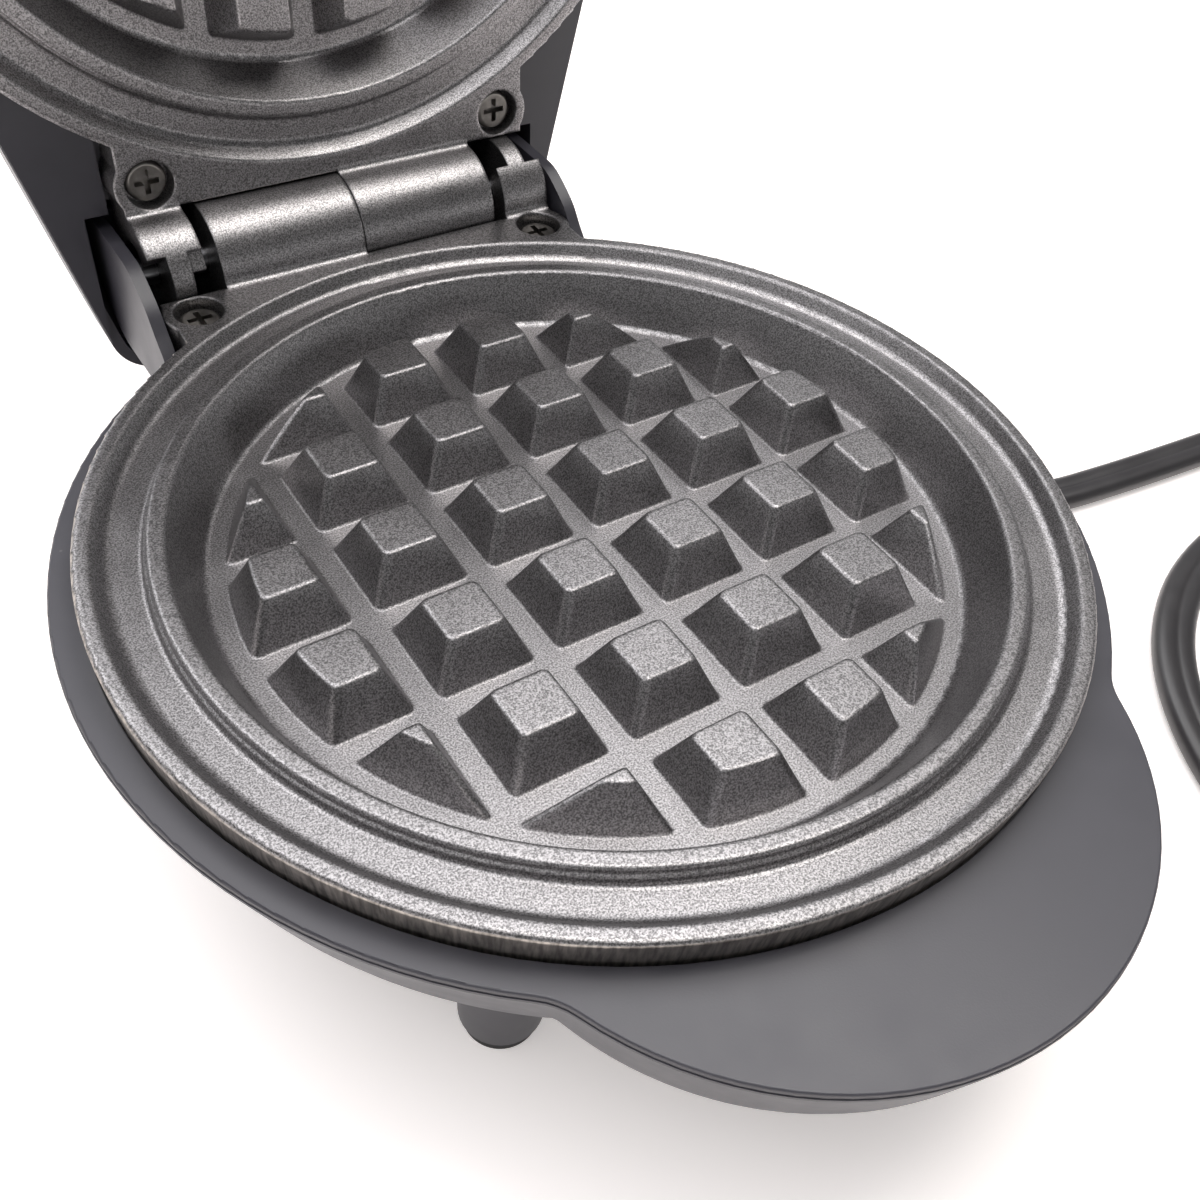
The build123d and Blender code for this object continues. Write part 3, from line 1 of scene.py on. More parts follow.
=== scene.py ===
"""Look of a mini waffle maker that stands open: camera, lead, finishes and light.

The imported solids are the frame, and only the lead and its tie are made here. Places and
sizes of the camera, the lead and the tie are millimetres from the plates' centre, as a
maker would measure them, and one function turns them to metres in the model's frame.
Those of the floor and the lights are metres.
"""
import logging
from dataclasses import dataclass, fields
from enum import Enum
from math import cos, pi, radians, sin
from typing import Any

import bpy
from mathutils import Matrix, Vector


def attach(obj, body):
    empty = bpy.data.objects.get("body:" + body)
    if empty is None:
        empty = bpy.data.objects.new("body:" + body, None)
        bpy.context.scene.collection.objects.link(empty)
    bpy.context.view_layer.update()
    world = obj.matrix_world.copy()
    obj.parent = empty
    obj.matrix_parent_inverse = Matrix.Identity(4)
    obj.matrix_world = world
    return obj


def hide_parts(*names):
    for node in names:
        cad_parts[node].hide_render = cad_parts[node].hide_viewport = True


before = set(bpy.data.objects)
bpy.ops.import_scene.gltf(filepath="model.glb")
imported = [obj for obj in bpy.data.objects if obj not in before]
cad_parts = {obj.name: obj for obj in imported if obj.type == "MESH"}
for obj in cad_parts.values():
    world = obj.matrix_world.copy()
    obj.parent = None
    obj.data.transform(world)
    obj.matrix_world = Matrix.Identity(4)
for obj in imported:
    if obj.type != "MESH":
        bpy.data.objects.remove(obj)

LOG = logging.getLogger("waffle_maker")
MM = 0.001
PLATE_CENTRE_Y = -17.3131
PHOTO_SIZE = 1200.0
SENSOR_MM = 36.0
NEAREST_SEEN = 0.005


def place(x: float, y: float, z: float) -> Vector:
    """Turn millimetres from the plates' centre into metres in the model's frame.

    Args:
        x: Distance to the right along the hinge line.
        y: Distance from the handle's side to the hinge.
        z: Height over the worktop.

    Returns:
        The point in metres.
    """
    return Vector((x, y + PLATE_CENTRE_Y, z)) * MM


def linear(colour: str) -> tuple[float, float, float, float]:
    """Turn an sRGB hex colour into the linear values that the shaders use.

    Args:
        colour: Six hex digits, such as "1b1c1e".

    Returns:
        Linear red, green and blue, and an alpha of one.
    """
    channels = []
    for start in (0, 2, 4):
        value = int(colour[start : start + 2], 16) / 255
        channels.append(value / 12.92 if value <= 0.04045 else ((value + 0.055) / 1.055) ** 2.4)
    return channels[0], channels[1], channels[2], 1.0


def add_node(
    tree: bpy.types.NodeTree,
    kind: str,
    settings: dict[str, Any] | None = None,
    values: dict[Any, Any] | None = None,
    links: dict[Any, bpy.types.NodeSocket] | None = None,
) -> bpy.types.Node:
    """Add a node with its settings, socket values and incoming links.

    Args:
        tree: Node tree that gets the node.
        kind: Blender's name of the node type.
        settings: Attributes of the node itself.
        values: Default values of input sockets, by name or number.
        links: Output sockets that feed input sockets, by name or number.

    Returns:
        The new node.
    """
    node = tree.nodes.new(kind)
    for name, value in (settings or {}).items():
        setattr(node, name, value)
    for socket, value in (values or {}).items():
        node.inputs[socket].default_value = value
    for socket, source in (links or {}).items():
        tree.links.new(source, node.inputs[socket])
    return node


def set_ramp(
    ramp: bpy.types.Node,
    colour: str,
    stops: tuple[tuple[float, float], tuple[float, float]],
) -> None:
    """Run a ramp from a darker to a lighter shade of one colour.

    Args:
        ramp: The ramp's node.
        colour: The middle colour as sRGB hex.
        stops: For both ends, the place on the ramp and the factor on the colour.
    """
    for element, (position, factor) in zip(ramp.color_ramp.elements, stops):
        element.position = position
        element.color = tuple(min(1.0, c * factor) for c in linear(colour)[:3]) + (1.0,)


def per_metre(size_mm: float) -> float:
    """Turn a pattern's real size into the noise scale that gives it.

    Args:
        size_mm: Size from one feature to the next in millimetres.

    Returns:
        The scale for coordinates in metres.
    """
    return 1.0 / (size_mm * MM)


class Body(Enum):
    """The two halves that the hinge joins."""

    BASE = "base"
    LID = "lid"


@dataclass(frozen=True)
class Finish:
    """What every finish shares: a colour, how shiny it is, and a fine relief.

    Grain is the relief's size from bump to bump. Mottle is the share by which the
    colour wanders, and sheen_wander is how far the roughness does. A finish has dust
    only where dust_apart_mm is more than zero.
    """

    name: str
    colour: str
    roughness: float
    metallic: float = 0.0
    ior: float = 1.5
    grain_mm: float = 0.4
    grain_height_mm: float = 0.01
    mottle: float = 0.0
    mottle_mm: float = 6.0
    cloud_range: tuple[float, float] = (0.3, 0.7)
    sheen_wander: float = 0.04
    dust_colour: str = "b9b4ad"
    dust_apart_mm: float = 0.0
    dust_mm: float = 0.28
    dusty_cells: tuple[float, float] = (0.6, 1.0)

    def build(self) -> bpy.types.Material:
        """Make the material.

        Returns:
            A material whose colour wanders a little and whose relief follows its grain.
        """
        material = bpy.data.materials.new(self.name)
        material.use_nodes = True
        tree = material.node_tree
        shader = tree.nodes["Principled BSDF"]
        shader.inputs["Metallic"].default_value = self.metallic
        if self.metallic < 1:
            shader.inputs["IOR"].default_value = self.ior
        where = add_node(tree, "ShaderNodeTexCoord").outputs["Object"]
        self.dress(tree, shader, where)
        return material

    def dress(
        self,
        tree: bpy.types.NodeTree,
        shader: bpy.types.Node,
        where: bpy.types.NodeSocket,
    ) -> None:
        """Add colour, roughness and relief.

        Args:
            tree: The material's node tree.
            shader: Its principled shader.
            where: Coordinates in metres on the object.
        """
        cloud = add_node(
            tree,
            "ShaderNodeTexNoise",
            values={"Scale": per_metre(self.mottle_mm), "Detail": 3.0, "Roughness": 0.6},
            links={"Vector": where},
        ).outputs["Fac"]
        low, high = self.cloud_range
        ramp = add_node(tree, "ShaderNodeValToRGB", links={"Fac": cloud})
        set_ramp(ramp, self.colour, ((low, 1 - self.mottle), (high, 1 + self.mottle)))
        shade = ramp.outputs["Color"]
        if self.dust_apart_mm > 0:
            shade = self.add_dust(tree, where, shade)
        tree.links.new(shade, shader.inputs["Base Color"])
        self.spread_sheen(tree, shader, cloud)
        grain = add_node(
            tree,
            "ShaderNodeTexNoise",
            values={"Scale": per_metre(self.grain_mm), "Detail": 2.0},
            links={"Vector": where},
        ).outputs["Fac"]
        relief = add_node(
            tree,
            "ShaderNodeBump",
            values={"Strength": 1.0, "Distance": self.grain_height_mm * MM},
            links={"Height": grain},
        )
        tree.links.new(relief.outputs["Normal"], shader.inputs["Normal"])

    def spread_sheen(
        self,
        tree: bpy.types.NodeTree,
        shader: bpy.types.Node,
        cloud: bpy.types.NodeSocket,
    ) -> None:
        """Let the roughness wander with a cloudy pattern.

        Args:
            tree: The material's node tree.
            shader: Its principled shader.
            cloud: The pattern, from zero to one.
        """
        low, high = self.cloud_range
        spread = add_node(
            tree,
            "ShaderNodeMapRange",
            values={
                1: low,
                2: high,
                3: self.roughness - self.sheen_wander,
                4: self.roughness + self.sheen_wander,
            },
            links={"Value": cloud},
        )
        tree.links.new(spread.outputs["Result"], shader.inputs["Roughness"])

    def add_dust(
        self,
        tree: bpy.types.NodeTree,
        where: bpy.types.NodeSocket,
        shade: bpy.types.NodeSocket,
    ) -> bpy.types.NodeSocket:
        """Scatter pale specks of dust, some cells of the pattern holding one and most none.

        Args:
            tree: The material's node tree.
            where: Coordinates in metres on the object.
            shade: Colour of the clean surface.

        Returns:
            Colour with the specks on it.
        """
        cells = add_node(
            tree,
            "ShaderNodeTexVoronoi",
            values={"Scale": per_metre(self.dust_apart_mm)},
            links={"Vector": where},
        )
        reach = self.dust_mm / self.dust_apart_mm
        near = add_node(
            tree,
            "ShaderNodeMapRange",
            values={1: reach, 2: reach / 2},
            links={"Value": cells.outputs["Distance"]},
        ).outputs["Result"]
        pick = add_node(tree, "ShaderNodeSeparateColor", links={"Color": cells.outputs["Color"]})
        first, last = self.dusty_cells
        chosen = add_node(
            tree,
            "ShaderNodeMapRange",
            values={1: first, 2: last},
            links={"Value": pick.outputs["Red"]},
        ).outputs["Result"]
        amount = add_node(
            tree,
            "ShaderNodeMath",
            settings={"operation": "MULTIPLY"},
            links={0: near, 1: chosen},
        )
        dusty = add_node(
            tree,
            "ShaderNodeMix",
            settings={"data_type": "RGBA"},
            values={7: linear(self.dust_colour)},
            links={"Factor": amount.outputs["Value"], 6: shade},
        )
        return dusty.outputs[2]


@dataclass(frozen=True)
class FlakedNonStick(Finish):
    """Sprayed non-stick coat with metal flake on die-cast aluminium.

    The flakes lie at slightly different tilts, which gives the satin sheen its sparkle
    of bright and dark specks. That sparkle is painted glints: the specks are painted into
    the coat's colour, over a small real relief of the flecks. Real ones are some 0.05 mm
    across and would not show, so they are drawn four times as coarse. The coat runs thick
    into corners and off the edges, so both look rounder than the casting under them, and
    catch a bright line.
    Round the plate's side a cutter has trimmed the casting, which leaves upright marks.
    """

    fleck_mm: float = 0.21
    fleck_height_mm: float = 0.02
    # how far the painted glints make the coat's colour darker and lighter
    fleck_glint_contrast: float = 0.5
    fleck_range: tuple[float, float] = (0.36, 0.64)
    coat_round_mm: float = 0.6
    coat_round_samples: int = 6
    trimmed_colour: str = "bdb6af"
    trimmed_radii_mm: tuple[float, float] = (58.95, 59.1)
    upright: tuple[float, float] = (0.6, 0.35)
    rim_reach_mm: float = 60.2
    rim_top_mm: float = 36.4
    trim_mark_mm: float = 0.5
    mark_stretch: float = 0.06
    mark_shades: tuple[tuple[float, float], tuple[float, float]] = ((0.35, 0.45), (0.65, 1.0))

    def trimmed(
        self,
        tree: bpy.types.NodeTree,
        where: bpy.types.NodeSocket,
    ) -> bpy.types.NodeSocket:
        """Find the trimmed side of the lower casting: outside, upright and under the rim's top.

        Args:
            tree: The material's node tree.
            where: Coordinates in metres on the object.

        Returns:
            One on the trimmed side, zero on the coat.
        """
        shifted = add_node(
            tree,
            "ShaderNodeVectorMath",
            settings={"operation": "SUBTRACT"},
            values={1: (0.0, PLATE_CENTRE_Y * MM, 0.0)},
            links={0: where},
        ).outputs["Vector"]
        flat = add_node(
            tree,
            "ShaderNodeVectorMath",
            settings={"operation": "MULTIPLY"},
            values={1: (1.0, 1.0, 0.0)},
            links={0: shifted},
        ).outputs["Vector"]
        radius = add_node(
            tree,
            "ShaderNodeVectorMath",
            settings={"operation": "LENGTH"},
            links={0: flat},
        ).outputs["Value"]
        height = add_node(tree, "ShaderNodeSeparateXYZ", links={"Vector": where}).outputs["Z"]
        facing = add_node(tree, "ShaderNodeNewGeometry").outputs["Normal"]
        upward = add_node(tree, "ShaderNodeSeparateXYZ", links={"Vector": facing}).outputs["Z"]
        inner, outer = (radius_mm * MM for radius_mm in self.trimmed_radii_mm)
        tests = []
        for source, (none, full) in ((radius, (inner, outer)), (upward, self.upright)):
            eased = add_node(
                tree,
                "ShaderNodeMapRange",
                values={1: none, 2: full},
                links={"Value": source},
            )
            tests.append(eased.outputs["Result"])
        for source, most_mm in ((height, self.rim_top_mm), (radius, self.rim_reach_mm)):
            under = add_node(
                tree,
                "ShaderNodeMath",
                settings={"operation": "LESS_THAN"},
                values={1: most_mm * MM},
                links={0: source},
            )
            tests.append(under.outputs["Value"])
        share = tests[0]
        for other in tests[1:]:
            both = add_node(
                tree,
                "ShaderNodeMath",
                settings={"operation": "MULTIPLY"},
                links={0: share, 1: other},
            )
            share = both.outputs["Value"]
        return share

    def dress(
        self,
        tree: bpy.types.NodeTree,
        shader: bpy.types.Node,
        where: bpy.types.NodeSocket,
    ) -> None:
        """Add the flecks with their painted glints, the wandering sheen, the round corners and
        the trimmed side.

        Args:
            tree: The material's node tree.
            shader: Its principled shader.
            where: Coordinates in metres on the object.
        """
        flecks = add_node(
            tree,
            "ShaderNodeTexNoise",
            values={"Scale": per_metre(self.fleck_mm), "Detail": 1.0, "Roughness": 0.7},
            links={"Vector": where},
        ).outputs["Fac"]
        # painted glints: the flecks' noise makes the coat's colour darker and lighter, in place
        # of light caught by flakes at different tilts
        low, high = self.fleck_range
        coat = add_node(tree, "ShaderNodeValToRGB", links={"Fac": flecks})
        dark, bright = 1 - self.fleck_glint_contrast, 1 + self.fleck_glint_contrast
        set_ramp(coat, self.colour, ((low, dark), (high, bright)))
        stretched = add_node(
            tree,
            "ShaderNodeVectorMath",
            settings={"operation": "MULTIPLY"},
            values={1: (1.0, 1.0, self.mark_stretch)},
            links={0: where},
        ).outputs["Vector"]
        marks = add_node(
            tree,
            "ShaderNodeTexNoise",
            values={"Scale": per_metre(self.trim_mark_mm), "Detail": 2.0},
            links={"Vector": stretched},
        ).outputs["Fac"]
        metal = add_node(tree, "ShaderNodeValToRGB", links={"Fac": marks})
        set_ramp(metal, self.trimmed_colour, self.mark_shades)
        mixed = add_node(
            tree,
            "ShaderNodeMix",
            settings={"data_type": "RGBA"},
            links={
                "Factor": self.trimmed(tree, where),
                6: coat.outputs["Color"],
                7: metal.outputs["Color"],
            },
        )
        tree.links.new(mixed.outputs[2], shader.inputs["Base Color"])
        cloud = add_node(
            tree,
            "ShaderNodeTexNoise",
            values={"Scale": per_metre(self.mottle_mm), "Detail": 3.0},
            links={"Vector": where},
        ).outputs["Fac"]
        self.spread_sheen(tree, shader, cloud)
        rounded = add_node(
            tree,
            "ShaderNodeBevel",
            settings={"samples": self.coat_round_samples},
            values={"Radius": self.coat_round_mm * MM},
        ).outputs["Normal"]
        relief = add_node(
            tree,
            "ShaderNodeBump",
            values={"Strength": 1.0, "Distance": self.fleck_height_mm * MM},
            links={"Height": flecks, "Normal": rounded},
        )
        tree.links.new(relief.outputs["Normal"], shader.inputs["Normal"])


@dataclass(frozen=True)
class ClearPlastic(Finish):
    """Transparent moulding, tinted through, so that what lies behind it glows dimly."""

    clearness: float = 0.85

    def dress(
        self,
        tree: bpy.types.NodeTree,
        shader: bpy.types.Node,
        where: bpy.types.NodeSocket,
    ) -> None:
        """Let the light through the plain finish.

        Args:
            tree: The material's node tree.
            shader: Its principled shader.
            where: Coordinates in metres on the object.
        """
        super().dress(tree, shader, where)
        shader.inputs["Transmission Weight"].default_value = self.clearness


@dataclass
class PhotoCamera:
    """Camera at the place and angle that fit the plate's rim, grid and hinge line."""

    x: float = -73.0
    y: float = -93.68
    z: float = 139.34
    azimuth: float = -38.854
    elevation: float = 45.453
    roll: float = 7.26
    focal_pixels: float = 1302.3

    def build(self) -> bpy.types.Object:
        """Make the camera and set it as the scene's.

        Returns:
            The camera object.
        """
        turn = radians(self.azimuth)
        drop = radians(self.elevation)
        forward = Vector((-sin(turn) * cos(drop), cos(turn) * cos(drop), -sin(drop)))
        level = forward.cross(Vector((0, 0, 1))).normalized()
        upright = level.cross(forward)
        right = level * cos(radians(self.roll)) + upright * sin(radians(self.roll))
        up = right.cross(forward)
        data = bpy.data.cameras.new("photo_camera")
        data.sensor_width = SENSOR_MM
        data.lens = self.focal_pixels / PHOTO_SIZE * SENSOR_MM
        data.clip_start = NEAREST_SEEN
        camera = bpy.data.objects.new("photo_camera", data)
        turned = Matrix((right, up, -forward)).transposed().to_4x4()
        camera.matrix_world = Matrix.Translation(place(self.x, self.y, self.z)) @ turned
        bpy.context.scene.collection.objects.link(camera)
        bpy.context.scene.camera = camera
        return camera


@dataclass
class FlatLead:
    """Flat two-core lead from the base to its plug, laid on the table and coiled.

    Its jacket is drawn over both cores at once, which leaves a shallow groove along the
    middle of each flat side. The line is a spline along the route's corners, so it cuts
    them. Corners on the table and in led_out give two of their three coordinates, the
    third being the floor's or the coil's own.
    """

    width: float = 6.4
    thickness: float = 3.4
    groove: float = 0.22
    groove_reach: float = 0.4
    edge_steps: int = 8
    flat_stops: tuple[float, ...] = (0.5, 0.22, 0.0, -0.22, -0.5)
    length_m: float = 1.208
    exit: tuple[float, float, float] = (-14.0, 54.0, 12.0)
    in_air: tuple[tuple[float, float, float], ...] = ((-14.0, 103.0, 12.0), (-14.0, 126.0, 1.7))
    on_table: tuple[tuple[float, float], ...] = (
        (-14.0, 147.0),
        (-4.0, 164.3),
        (13.3, 174.3),
        (33.3, 174.3),
        (50.6, 164.3),
        (60.6, 147.0),
        (59.5, 107.0),
        (64.0, 57.0),
        (63.0, 17.0),
        (83.6, -3.6),
        (110.8, -7.4),
        (150.6, -10.7),
        (172.5, -27.0),
        (182.0, -53.0),
        (182.0, -86.0),
        (170.5, -113.0),
        (144.5, -128.5),
        (104.6, -131.0),
        (79.4, -117.3),
        (64.7, -92.9),
        (64.7, -64.0),
        (79.2, -39.3),
        (104.6, -25.8),
    )
    coil_right: float = 131.0
    coil_left: float = 111.7
    coil_start: float = -25.8
    coil_bottom: float = -110.0
    coil_top: float = -42.0
    coil_end: float = -103.0
    led_out: tuple[tuple[float, float], ...] = (
        (122.5, 1.7),
        (111.5, 5.6),
        (82.0, 5.6),
        (74.0, 7.5),
        (62.0, 7.5),
    )
    corners: int = 6
    line_steps: int = 10
    line_order: int = 3

    def half_turn(
        self,
        x: float,
        start: float,
        end: float,
        side: int,
    ) -> list[tuple[float, float, float]]:
        """Corners of half a turn of the coil, so that its line touches the round.

        Args:
            x: Place of the turn's centre along the hinge line.
            start: Where it begins, fore and aft.
            end: Where it ends, fore and aft.
            side: One to the right, minus one to the left.

        Returns:
            The corners in the order that the lead runs.
        """
        radius = abs(start - end) / 2
        middle = (start + end) / 2
        reach = radius / cos(pi / 2 / self.corners)
        way = 1 if start > end else -1
        found = []
        for i in range(self.corners):
            angle = pi * (i + 0.5) / self.corners
            out = x + side * reach * sin(angle)
            along = middle + way * reach * cos(angle)
            found.append((out, along, self.thickness / 2))
        return found

    def route(self) -> list[Vector]:
        """Points of the lead's line from the clamp to the plug.

        Returns:
            The control points in metres.
        """
        floor = self.thickness / 2
        points = [self.exit, *self.in_air]
        points += [(x, y, floor) for x, y in self.on_table]
        points += self.half_turn(self.coil_right, self.coil_start, self.coil_bottom, 1)
        points += self.half_turn(self.coil_left, self.coil_bottom, self.coil_top, -1)
        points += self.half_turn(self.coil_right, self.coil_top, self.coil_end, 1)
        points += [(x, self.coil_end, z) for x, z in self.led_out]
        return [place(*p) for p in points]

    def centreline(self) -> list[Vector]:
        """Read the smooth line from a curve through the route.

        Returns:
            Points close together along the lead.
        """
        data = bpy.data.curves.new("lead_line", "CURVE")
        data.dimensions = "3D"
        data.resolution_u = self.line_steps
        spline = data.splines.new("NURBS")
        points = self.route()
        spline.points.add(len(points) - 1)
        for target, point in zip(spline.points, points):
            target.co = (*point, 1.0)
        spline.order_u = self.line_order
        spline.use_endpoint_u = True
        carrier = bpy.data.objects.new("lead_line", data)
        bpy.context.scene.collection.objects.link(carrier)
        bpy.context.view_layer.update()
        mesh = bpy.data.meshes.new_from_object(carrier)
        line = [v.co.copy() for v in mesh.vertices]
        bpy.data.objects.remove(carrier)
        bpy.data.curves.remove(data)
        bpy.data.meshes.remove(mesh)
        return line

    def section(self) -> list[tuple[float, float]]:
        """Outline of the lead: flat, with round edges and a shallow groove between the cores.

        Returns:
            Sideways and upward distances in metres, once round.
        """
        half = self.thickness / 2
        straight = self.width / 2 - half
        outline = []
        for i in range(self.edge_steps + 1):
            angle = -pi / 2 + pi * i / self.edge_steps
            outline.append((straight + half * cos(angle), half * sin(angle)))
        for share in self.flat_stops:
            dip = self.groove * (1 - min(1.0, abs(share) / self.groove_reach))
            outline.append((straight * share, half - dip))
        mirrored = [(-x, -y) for x, y in outline]
        return [(x * MM, y * MM) for x, y in outline + mirrored]

    def build(self, finish: bpy.types.Material) -> bpy.types.Object:
        """Args:
            finish: Its jacket's material.

        Returns:
            The lead's object.
        """
        line = self.centreline()
        outline = self.section()
        ring = len(outline)
        vertices = []
        for i, here in enumerate(line):
            before = line[max(i - 1, 0)]
            after = line[min(i + 1, len(line) - 1)]
            along = (after - before).normalized()
            side = along.cross(Vector((0, 0, 1))).normalized()
            upward = side.cross(along)
            vertices += [here + side * x + upward * y for x, y in outline]
        faces = []
        for i in range(len(line) - 1):
            for k in range(ring):
                low = i * ring + k
                beside = i * ring + (k + 1) % ring
                faces.append((low, beside, beside + ring, low + ring))
        faces.append(tuple(range(ring - 1, -1, -1)))
        last = (len(line) - 1) * ring
        faces.append(tuple(last + k for k in range(ring)))
        mesh = bpy.data.meshes.new("lead")
        mesh.from_pydata(vertices, [], faces)
        mesh.shade_smooth()
        lead = bpy.data.objects.new("lead", mesh)
        lead.data.materials.append(finish)
        bpy.context.scene.collection.objects.link(lead)
        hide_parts("cord_lead", "cord_coil")
        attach(lead, Body.BASE.value)
        return lead


@dataclass
class CoilTie:
    """Wire tie with a flat plastic cover, closed round two turns of the lead."""

    x: float = 121.0
    low_y: float = -113.9
    high_y: float = -99.1
    width: float = 4.0
    lead_thickness: float = 3.4
    rise: float = 0.5
    sheet: float = 0.45
    lift_off: float = 0.1
    least_height: tuple[float, float] = (0.05, 0.02)
    steps: int = 40
    end_round: float = 0.35
    top_round: float = 0.5

    def loop(self) -> list[tuple[float, float]]:
        """Go once round the two turns on a rectangle with rounded corners.

        Returns:
            Places fore and aft with their heights.
        """
        top = self.lead_thickness + self.rise
        middle = (self.low_y + self.high_y) / 2
        reach = (self.high_y - self.low_y) / 2
        points = []
        for i in range(self.steps):
            angle = 2 * pi * i / self.steps
            squash = abs(cos(angle)) ** self.end_round * (1 if cos(angle) > 0 else -1)
            lift = abs(sin(angle)) ** self.top_round * (1 if sin(angle) > 0 else -1)
            height = (top + self.lift_off) / 2 + (top - self.lift_off) / 2 * lift
            points.append((middle + reach * squash, height))
        return points

    def build(self, finish: bpy.types.Material) -> bpy.types.Object:
        """Make the tie as a closed band that follows the turns.

        Args:
            finish: The plastic cover's material.

        Returns:
            The tie's object.
        """
        middle = (self.low_y + self.high_y) / 2
        low_inner, low_outer = self.least_height
        points = self.loop()
        vertices = []
        faces = []
        for k, (y, z) in enumerate(points):
            out_y = y + self.sheet * (1 if y > middle else -1) * 0.5
            out_z = z + self.sheet * (z > self.lead_thickness / 2)
            for side in (-1, 1):
                x = self.x + side * self.width / 2
                vertices.append(place(x, y, max(z, low_inner)))
                vertices.append(place(x, out_y, max(out_z, low_outer)))
            a, b = 4 * k, 4 * ((k + 1) % len(points))
            faces += [
                (a, b, b + 2, a + 2),
                (a + 1, a + 3, b + 3, b + 1),
                (a, a + 1, b + 1, b),
                (a + 2, b + 2, b + 3, a + 3),
            ]
        mesh = bpy.data.meshes.new("coil_tie")
        mesh.from_pydata(vertices, [], faces)
        tie = bpy.data.objects.new("coil_tie", mesh)
        tie.data.materials.append(finish)
        bpy.context.scene.collection.objects.link(tie)
        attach(tie, Body.BASE.value)
        return tie


@dataclass
class Finishes:
    """All the maker's finishes, and which piece has which."""

    # Injection-moulded ABS: satin charcoal with a faint violet cast, an even grain from a
    # spark-eroded mould, drawn coarser than its real 0.1 mm so that it shows, and a few
    # pale specks of dust
    housing: Finish = Finish(
        "moulded_black_abs",
        "3c3b42",
        0.42,
        ior=1.6,
        grain_mm=0.25,
        grain_height_mm=0.006,
        mottle=0.05,
        dust_apart_mm=5.0,
    )
    # Die-cast aluminium under a sprayed coat: grey, with painted glints as sparkle, that turns
    # dark on steep sides
    casting: FlakedNonStick = FlakedNonStick(
        "flaked_non_stick_on_die_cast_aluminium", "8f8d8e", 0.37, metallic=0.97
    )
    # Steel screws, chemically blackened: dull grey with lighter patches where it wore
    screw: Finish = Finish(
        "blackened_steel",
        "86837f",
        0.32,
        metallic=1.0,
        grain_mm=0.5,
        grain_height_mm=0.01,
        mottle=0.2,
        mottle_mm=1.5,
    )
    # Drawn and zinc-plated steel of pins and small screws: even grey with a tight gloss
    pin: Finish = Finish("drawn_steel", "8d8d8f", 0.3, metallic=1.0, grain_mm=0.6, mottle=0.08)
    # Pressed aluminised sheet: pale and satin, with soft dents from the press
    plate: Finish = Finish(
        "aluminised_sheet_steel", "a6a6a4", 0.38, metallic=1.0, grain_mm=1.2, mottle=0.1
    )
    # Heater tube after its first heating: dull, with brown oxide in patches
    sheath: Finish = Finish(
        "oxidised_heater_sheath",
        "5b5853",
        0.55,
        metallic=0.9,
        grain_mm=0.5,
        mottle=0.2,
        mottle_mm=4.0,
    )
    # Moulded phenolic of the thermostat: dark brown and fairly glossy
    phenolic: Finish = Finish("moulded_phenolic", "4a2a18", 0.35, ior=1.55, mottle=0.1)
    # Moulded nylon without pigment: milky off-white
    nylon: Finish = Finish("natural_nylon", "dcd8cc", 0.45, ior=1.53, mottle=0.03)
    # Extruded silicone over the inner leads: soft white with hardly any gloss
    silicone: Finish = Finish("silicone_insulated_lead", "e2e0d8", 0.5, ior=1.41, mottle=0.03)
    # Extruded PVC: black with a broad soft highlight along the top of each core
    jacket: Finish = Finish(
        "black_pvc_jacket",
        "2d2b2d",
        0.36,
        ior=1.6,
        grain_mm=0.8,
        grain_height_mm=0.003,
        mottle=0.05,
    )
    # Stamped brass with bright nickel: the only warm shine, on the plug's blades
    brass: Finish = Finish(
        "nickel_plated_brass", "c9c4b6", 0.25, metallic=1.0, grain_mm=0.8, mottle=0.05
    )
    # Moulded nitrile rubber of the feet: black and nearly without gloss
    rubber: Finish = Finish(
        "black_nitrile_rubber", "1a1a1a", 0.7, ior=1.52, grain_height_mm=0.02, mottle=0.08
    )
    # Polished polycarbonate of the indicator: deep red, glossy, dark while unlit
    lens: ClearPlastic = ClearPlastic(
        "red_polycarbonate", "a51c12", 0.12, ior=1.58, grain_height_mm=0.002
    )
    # Blown glass of the indicator's lamp: clear with a warm tint
    glass: ClearPlastic = ClearPlastic("lamp_glass", "e8dccb", 0.05, grain_height_mm=0.001)
    # Extruded cover of the wire tie: black, duller than the lead
    tie: Finish = Finish("tie_cover", "26262a", 0.5)

    def worn_by(self) -> dict[str, tuple[str, ...]]:
        """Pieces by the field that dresses them.

        Returns:
            Field names with the nodes that take that finish.
        """
        return {
            "housing": ("base_deck", "base_shell", "lid_deck", "lid_shell", "cord_clamp"),
            "casting": ("lower_plate", "upper_plate"),
            "screw": ("lower_plate_screws", "upper_plate_screws", "base_deck_screws"),
            "pin": (
                "hinge_pin",
                "lower_heater_pins",
                "upper_heater_pins",
                "lower_clamp_screws",
                "upper_clamp_screws",
                "thermostat_screws",
                "fuse_screw",
                "cord_clamp_screws",
                "thermal_fuse",
            ),
            "plate": (
                "lower_clamp_ring",
                "upper_clamp_ring",
                "lower_reflector",
                "upper_reflector",
                "fuse_strap",
            ),
            "sheath": ("lower_heater", "upper_heater"),
            "phenolic": ("thermostat",),
            "nylon": ("wire_connector", "lamp_holder"),
            "silicone": ("base_leads", "lid_leads"),
            "jacket": ("strain_relief", "plug_body"),
            "brass": ("plug_blades",),
            "rubber": (
                "foot_front_right",
                "foot_front_left",
                "foot_rear_right",
                "foot_rear_left",
            ),
            "lens": ("indicator_lens",),
            "glass": ("indicator_lamp",),
        }

    def dress(self) -> dict[str, bpy.types.Material]:
        """Build every finish once and give it to its pieces.

        Returns:
            The materials by field name.
        """
        made = {entry.name: getattr(self, entry.name).build() for entry in fields(self)}
        for name, nodes in self.worn_by().items():
            for node in nodes:
                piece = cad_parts[node]
                for material_slot in piece.material_slots:
                    material_slot.material = made[name]
            LOG.info("%s on %s", name, ", ".join(nodes))
        return made


